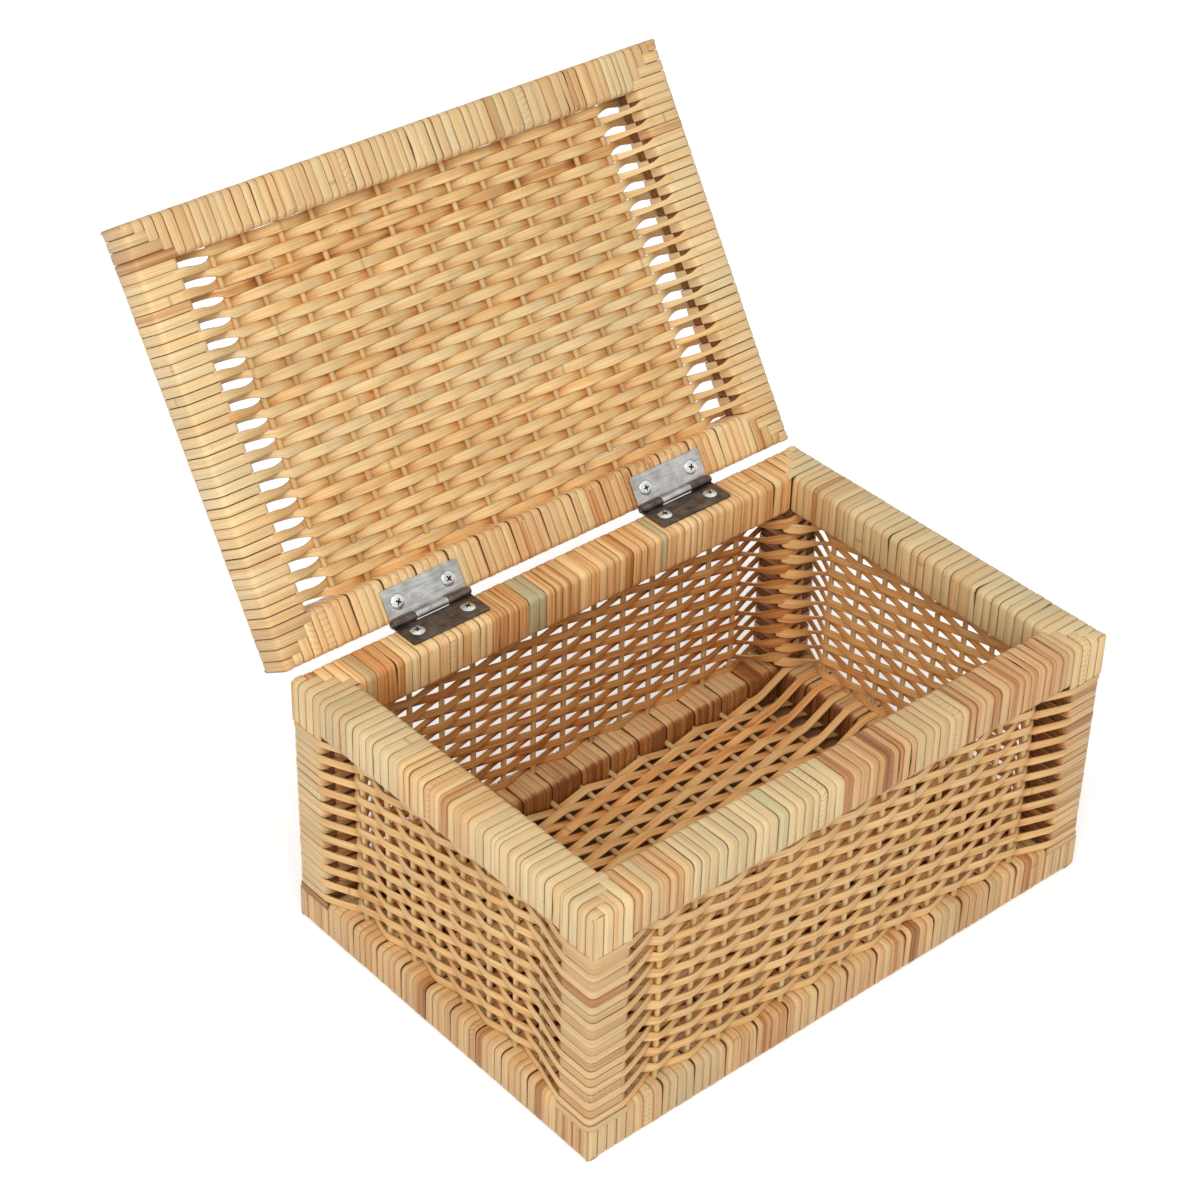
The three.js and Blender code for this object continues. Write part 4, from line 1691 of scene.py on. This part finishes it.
@dataclass
class BoxBody(WickerPart):
    """The woven box: two frames of bound rails, four posts, four walls and a floor."""

    def build(self) -> None:
        """Builds every piece of the body."""
        half = BODY_SECTION / 2
        self.build_frame("top_rail", BODY_HEIGHT - half, Hang.TOP, Winding.PLAIN, 41, (0.04, 0.41, 0.98))
        self.build_frame("bottom_rail", half, Hang.BOTTOM, Winding.BUNDLED, 31, (0.42, 0.53, 0.9))
        sides = [(depth, length) for depth in (-1, 1) for length in (-1, 1)]
        for number, (side_y, side_x) in enumerate(sides):
            name = f"post_{'front' if side_y < 0 else 'back'}_{'left' if side_x < 0 else 'right'}"
            lot = PeelLot(seed=61 + number, mean_hue=0.5, mean_tone=0.85)
            self.put_peel(name, CornerPost(side_x, side_y, lot).strips())
        self.build_walls()
        floor = FloorPanel(
            middle=Z * 12.0,
            along=X,
            up=Y,
            out=Z,
            reach=BOX_LENGTH / 2 - BODY_SECTION,
            half_height=BOX_DEPTH / 2 - BODY_SECTION,
            rows=FLOOR_ROWS,
            tints=ROW_TINTS["floor"],
            width=5.95,
            narrow_width=5.8,
            seed=77,
        )
        self.put_weave("floor_weave", floor.strips(), "floor_woven_panel")

    def build_frame(
        self, prefix: str, level: float, hang: Hang, winding: Winding, seed: int, looks: tuple[float, ...]
    ) -> None:
        """Winds the four rails of one frame.

        Args:
            prefix: the start of the rails' names
            level: the height of their middle line
            hang: which faces their corner strips cover
            winding: how the peel lies between the corners
            seed: the first rail's seed
            looks: the painted shade of their inner faces and the mean hue and tone of their peel
        """
        half = BODY_SECTION / 2
        places = frame_places(BOX_DEPTH, BODY_SECTION, level, inner_painted_shade=looks[0])
        for number, (side, rail) in enumerate(places):
            long = side in ("front", "back")
            name = f"{prefix}_{side}"
            hue, tone = RAIL_TINTS_AND_PAINTED_LIGHT.get(name, looks[1:])
            bound = BoundRail(
                name=name,
                place=rail,
                winding=winding,
                hang=hang,
                covers_diagonal=not long,
                stakes=tuple(rail.run / 2 + stake for stake in (LONG_STAKES if long else SHORT_STAKES)),
                presses=((half - (LONG_SETBACK if long else SHORT_SETBACK), half), (-half, -0.25)),
                lot=PeelLot(seed=seed + number, mean_hue=hue, mean_tone=tone),
            )
            self.put_peel(name, bound.strips())

    def build_walls(self) -> None:
        """Weaves the four walls, with painted shade on hidden parts and the right wall painted paler."""
        middle = BODY_HEIGHT / 2
        # Each wall's way out, the painted shade on its weavers' undersides and on their hidden side, the side
        # of it that shows and how much paler it is than its rows' tints, which is painted light.
        table = (
            ("front", -Y, 0.45, 0.36, 1, 1.0),
            ("back", Y, 0.24, 0.22, -1, 1.0),
            ("left", -X, 0.45, 0.36, 1, 1.0),
            ("right", X, 0.08, 0.1, -1, 1.12),
        )
        for number, (name, out, core, rear_painted_shade, shown_side, lit) in enumerate(table):
            long = name in ("front", "back")
            setback = LONG_SETBACK if long else SHORT_SETBACK
            length, depth = (BOX_LENGTH, BOX_DEPTH) if long else (BOX_DEPTH, BOX_LENGTH)
            wall = WallPanel(
                middle=out * (depth / 2 - setback) + Z * middle,
                along=X if long else Y,
                up=Z,
                out=out,
                reach=length / 2 - BODY_SECTION,
                half_height=middle - BODY_SECTION,
                stakes=LONG_STAKES if long else SHORT_STAKES,
                rows=tuple(row - middle for row in BODY_ROWS),
                # Painted shade on the undersides, and the right wall's painted light.
                tints=[replace(tint, core=core, tone=tint.tone * lit) for tint in ROW_TINTS["walls"]],
                width=5.0,
                narrow_width=4.9,
                parity=1 if long else 0,
                seed=number * 13,
                shown_side=shown_side,
                rear_painted_shade=rear_painted_shade,
                setback=setback,
                inner_end=CLIMBING_END if long else DIVING_END,
            )
            self.put_weave(f"{name}_wall_weave", wall.strips(), f"{name}_woven_panel")


@dataclass
class BoxLid(WickerPart):
    """The lid: a frame of bound rails and a woven panel, drawn closed about the hinge axis."""

    def build(self) -> None:
        """Builds the lid's rails and its panel."""
        middle_y = -LID_AXIS_OVERHANG - LID_DEPTH / 2
        level = LID_AXIS_HEIGHT + LID_SECTION / 2
        for number, (side, rail) in enumerate(frame_places(LID_DEPTH, LID_SECTION, level, middle_y)):
            name = f"lid_rail_{side}"
            hue, tone = RAIL_TINTS_AND_PAINTED_LIGHT[name]
            bound = BoundRail(
                name=name,
                place=rail,
                winding={"front": Winding.PLAIN, "back": Winding.BUNDLED}.get(side, Winding.WOVEN),
                hang=Hang.BOTH,
                covers_diagonal=side in ("left", "right"),
                stakes=tuple(rail.run / 2 + stake for stake in LONG_STAKES),
                presses=((-LID_SECTION / 2, 0.0),),
                lot=PeelLot(seed=81 + number, mean_hue=hue, mean_tone=tone),
                rows=tuple(rail.run / 2 + (row if rail.along.y > 0 else -row) for row in LID_ROWS),
                corner=LID_SECTION,
                press_reach=16.0,
            )
            self.put_peel(name, bound.strips())
        panel = LidPanel(
            middle=Vector((0.0, middle_y, level)),
            along=X,
            up=Y,
            out=-Z,
            reach=BOX_LENGTH / 2 - LID_SECTION,
            half_height=LID_DEPTH / 2 - LID_SECTION,
            rows=LID_ROWS,
            tints=ROW_TINTS["lid"],
            width=5.9,
            narrow_width=5.45,
            seed=55,
            rear_painted_shade=0.26,
        )
        self.put_weave("lid_weave", panel.strips(), "lid_woven_panel")


@dataclass
class HingePair:
    """Both hinges, each with a half on the body and a half on the lid."""

    finishes: Finishes
    body_matrix: Matrix
    lid_matrix: Matrix
    spacing: float = 170.0

    def build(self) -> None:
        """Builds both hinges."""
        over = Matrix.Rotation(math.pi, 4, "Z") @ Matrix.Rotation(math.pi, 4, "X")
        upside_down = Matrix.Rotation(math.pi, 4, "X")
        hinge = ButtHinge()
        looks = self.finishes
        # The screws' finish, and the painted shade of their cross recess.
        cross = [looks.screw, looks.recess]
        face = hinge.leaf_thickness - hinge.knuckle_radius
        for name, x in (("hinge_left", -self.spacing / 2), ("hinge_right", self.spacing / 2)):
            here = Matrix.Translation((x, 0.0, 0.0))
            body, lid = self.body_matrix @ here, self.lid_matrix @ here
            body_leaf, lid_leaf = hinge.leaf(hinge.body_knuckles()), hinge.leaf(hinge.lid_knuckles())
            parts = [
                ("body_leaf", body_leaf, body, [looks.body_leaf], "box_body", "hinge_steel"),
                ("lid_leaf", lid_leaf, lid @ over, [looks.lid_leaf], "lid", "hinge_steel"),
                ("pin", hinge.pin(), body, [looks.pin], "box_body", "pin_steel"),
            ]
            for end, side in (("left", -1), ("right", 1)):
                spot = (side * hinge.screw_across / 2, -hinge.screw_inset)
                turn = Matrix.Rotation(math.radians(17 + 31 * side + 0.2 * x), 4, "Z")
                on_body = body @ Matrix.Translation((*spot, face)) @ turn
                on_lid = lid @ Matrix.Translation((*spot, -face)) @ upside_down @ turn
                parts.append((f"body_screw_{end}", hinge.screw(), on_body, cross, "box_body", "screw_zinc"))
                parts.append((f"lid_screw_{end}", hinge.screw(), on_lid, cross, "lid", "screw_zinc"))
            for part, mesh, place, dress, owner, slot in parts:
                node = f"{name}_{part}"
                put(f"{node}_detailed", shaded(mesh, place), dress, owner, node)


@dataclass
class Studio:
    """A white floor and soft lamps, and the camera of the photograph."""

    camera_place: tuple[float, float, float] = (-0.8395, -0.9652, 1.0457)
    camera_aim: tuple[float, float, float] = (-0.0728, -0.10475, 0.2247)
    camera_roll_degrees: float = 1.579
    lens: float = 88.07
    sensor: float = 36.0
    floor_size_m: float = 12.0
    sky: float = 0.41
    lamps: tuple[tuple, ...] = (
        ("key_lamp", (-1.0, -1.2, 2.0), (0.0, -0.05, 0.1), 1.3, 28.0),
        ("fill_lamp", (-2.0, -1.3, 1.0), (0.0, -0.1, 0.15), 1.4, 9.5),
    )
    # The box's footprint, where the shadow under it is painted: middle and half size in x, then in y.
    footprint: tuple[float, float, float, float] = (0.0, 0.165, -0.105, 0.107)
    glow_reach: float = 0.25
    near_glow: float = 0.36
    far_glow: float = 0.7
    paper_colour: str = "#F4F4F4"
    # The colour of the shadow painted under the box.
    shade_colour: str = "#9C7850"

    def build(self) -> None:
        """Builds the camera, the floor, the world and the lamps."""
        self.build_camera()
        self.build_floor()
        self.build_world()
        for lamp in self.lamps:
            self.build_lamp(*lamp)

    def build_camera(self) -> None:
        """Places the camera where the photograph was taken from."""
        place = Vector(self.camera_place)
        back = (place - Vector(self.camera_aim)).normalized()
        right = Z.cross(back).normalized()
        up = back.cross(right)
        roll = math.radians(self.camera_roll_degrees)
        turned_right = right * math.cos(roll) + up * math.sin(roll)
        turned_up = up * math.cos(roll) - right * math.sin(roll)
        data = bpy.data.cameras.new("photo_camera")
        data.lens = self.lens
        data.sensor_width = self.sensor
        data.clip_start = 0.01
        camera = shown("photo_camera", data)
        basis = Matrix((turned_right, turned_up, back)).transposed().to_4x4()
        camera.matrix_world = Matrix.Translation(place) @ basis
        bpy.context.scene.camera = camera

    def build_floor(self) -> None:
        """Lays a white floor that keeps the box's cast shadow, with a painted shadow under the box."""
        mesh = bmesh.new()
        bmesh.ops.create_grid(mesh, x_segments=2, y_segments=2, size=self.floor_size_m / 2)
        data = mesh_data("studio_floor", mesh)
        data.materials.append(self.floor_material())
        shown("studio_floor", data)

    def floor_material(self) -> bpy.types.Material:
        """White seamless paper, brighter to the camera away from the box, with a painted dark brown shadow
        under it.

        Returns:
            The material.
        """
        material = bpy.data.materials.new("seamless_paper")
        node = partial(add_node, new_tree(material))
        lie = node("SeparateXYZ", [node("TexCoord").outputs["Object"]])
        middle_x, half_x, middle_y, half_y = self.footprint
        past = []
        for number, middle, half in ((0, middle_x, half_x), (1, middle_y, half_y)):
            offset = node("Math", [lie.outputs[number], middle], operation="SUBTRACT")
            distance = node("Math", [offset], operation="ABSOLUTE")
            past.append(node("Math", [distance, half], operation="SUBTRACT"))
        distance = node("Math", past, operation="MAXIMUM")
        spread = node("MapRange", [distance, 0.0, self.glow_reach, self.near_glow, self.far_glow])
        outside = node("Math", [distance, 0.0], operation="GREATER_THAN")
        outer_glow = node("Math", [spread, outside], operation="MULTIPLY")
        glow = node("Math", [self.seen_directly(node), outer_glow], operation="MULTIPLY")
        # Painted shadow: the paper is dark brown and does not glow inside the box's footprint.
        colours = {0: outside, 6: linear(self.shade_colour), 7: linear(self.paper_colour)}
        look = {
            "Base Color": node("Mix", colours, data_type="RGBA").outputs[2],
            "Roughness": 1.0,
            "Specular IOR Level": 0.0,
            "Emission Color": linear("#FFFFFF"),
            "Emission Strength": glow,
        }
        node("OutputMaterial", [node("BsdfPrincipled", look)])
        return material

    @staticmethod
    def seen_directly(node: partial) -> bpy.types.Node:
        """Finds whether the camera sees a place, by itself or in something shiny or clear.

        Args:
            node: what adds a node to the material's or the world's tree

        Returns:
            A node that gives one where it does, and zero where the place only gives light.
        """
        path = node("LightPath")
        seen = path.outputs["Is Camera Ray"]
        for kind in ("Is Glossy Ray", "Is Transmission Ray"):
            seen = node("Math", [seen, path.outputs[kind]], operation="MAXIMUM")
        return seen

    def build_world(self) -> None:
        """Sets an even sky, which the camera and shiny metal see as white."""
        world = bpy.data.worlds.new("studio_sky")
        node = partial(add_node, new_tree(world))
        strength = node("MapRange", [self.seen_directly(node), 0.0, 1.0, self.sky, 1.0])
        node("OutputWorld", [node("Background", [linear("#FFFFFF"), strength])])
        bpy.context.scene.world = world

    def build_lamp(
        self, name: str, place: Sequence[float], aim: Sequence[float], size: float, power: float
    ) -> None:
        """Hangs a square soft lamp.

        Args:
            name: the lamp's name
            place: where it hangs, in metres
            aim: what it looks at, in metres
            size: the length of its sides in metres
            power: its power in watts
        """
        data = bpy.data.lights.new(name, "AREA")
        data.shape = "SQUARE"
        data.size = size
        data.energy = power
        way = (Vector(aim) - Vector(place)).normalized()
        lamp = shown(name, data)
        lamp.matrix_world = Matrix.Translation(place) @ way.to_track_quat("-Z", "Y").to_matrix().to_4x4()


def dress_kept_nodes(frame: dict, finishes: Finishes) -> None:
    """Gives the nodes that stay in the scene their finishes.

    Args:
        frame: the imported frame
        finishes: the finishes of the box
    """
    for name, node in frame["nodes"].items():
        if name.endswith("_pole"):
            material = finishes.pole
        elif name.startswith("frame_nail"):
            material = finishes.nail
        else:
            continue
        for slot in node.material_slots:
            slot.material = material


def main() -> None:
    """Builds the box, its lid, its hinges and the studio."""
    logging.basicConfig(level=logging.INFO, format="%(message)s")
    bpy.context.scene.view_settings.view_transform = "Standard"
    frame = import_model()
    joint = next(joint for joint in frame["joints"] if joint["name"] == "lid_hinge")
    axis = Matrix.Translation(joint["pos_m"])
    opened = Matrix.Rotation(-math.radians(LID_OPEN_DEGREES), 4, "X")
    finishes = Finishes()
    dress_kept_nodes(frame, finishes)
    BoxBody(finishes, "box_body", Matrix.Translation(BODY_MIDDLE_M) @ SCALE).build()
    BoxLid(finishes, "lid", axis @ opened @ SCALE).build()
    HingePair(finishes, axis @ SCALE, axis @ opened @ SCALE).build()
    Studio().build()
    bpy.context.view_layer.update()


if __name__ == "__main__":
    main()
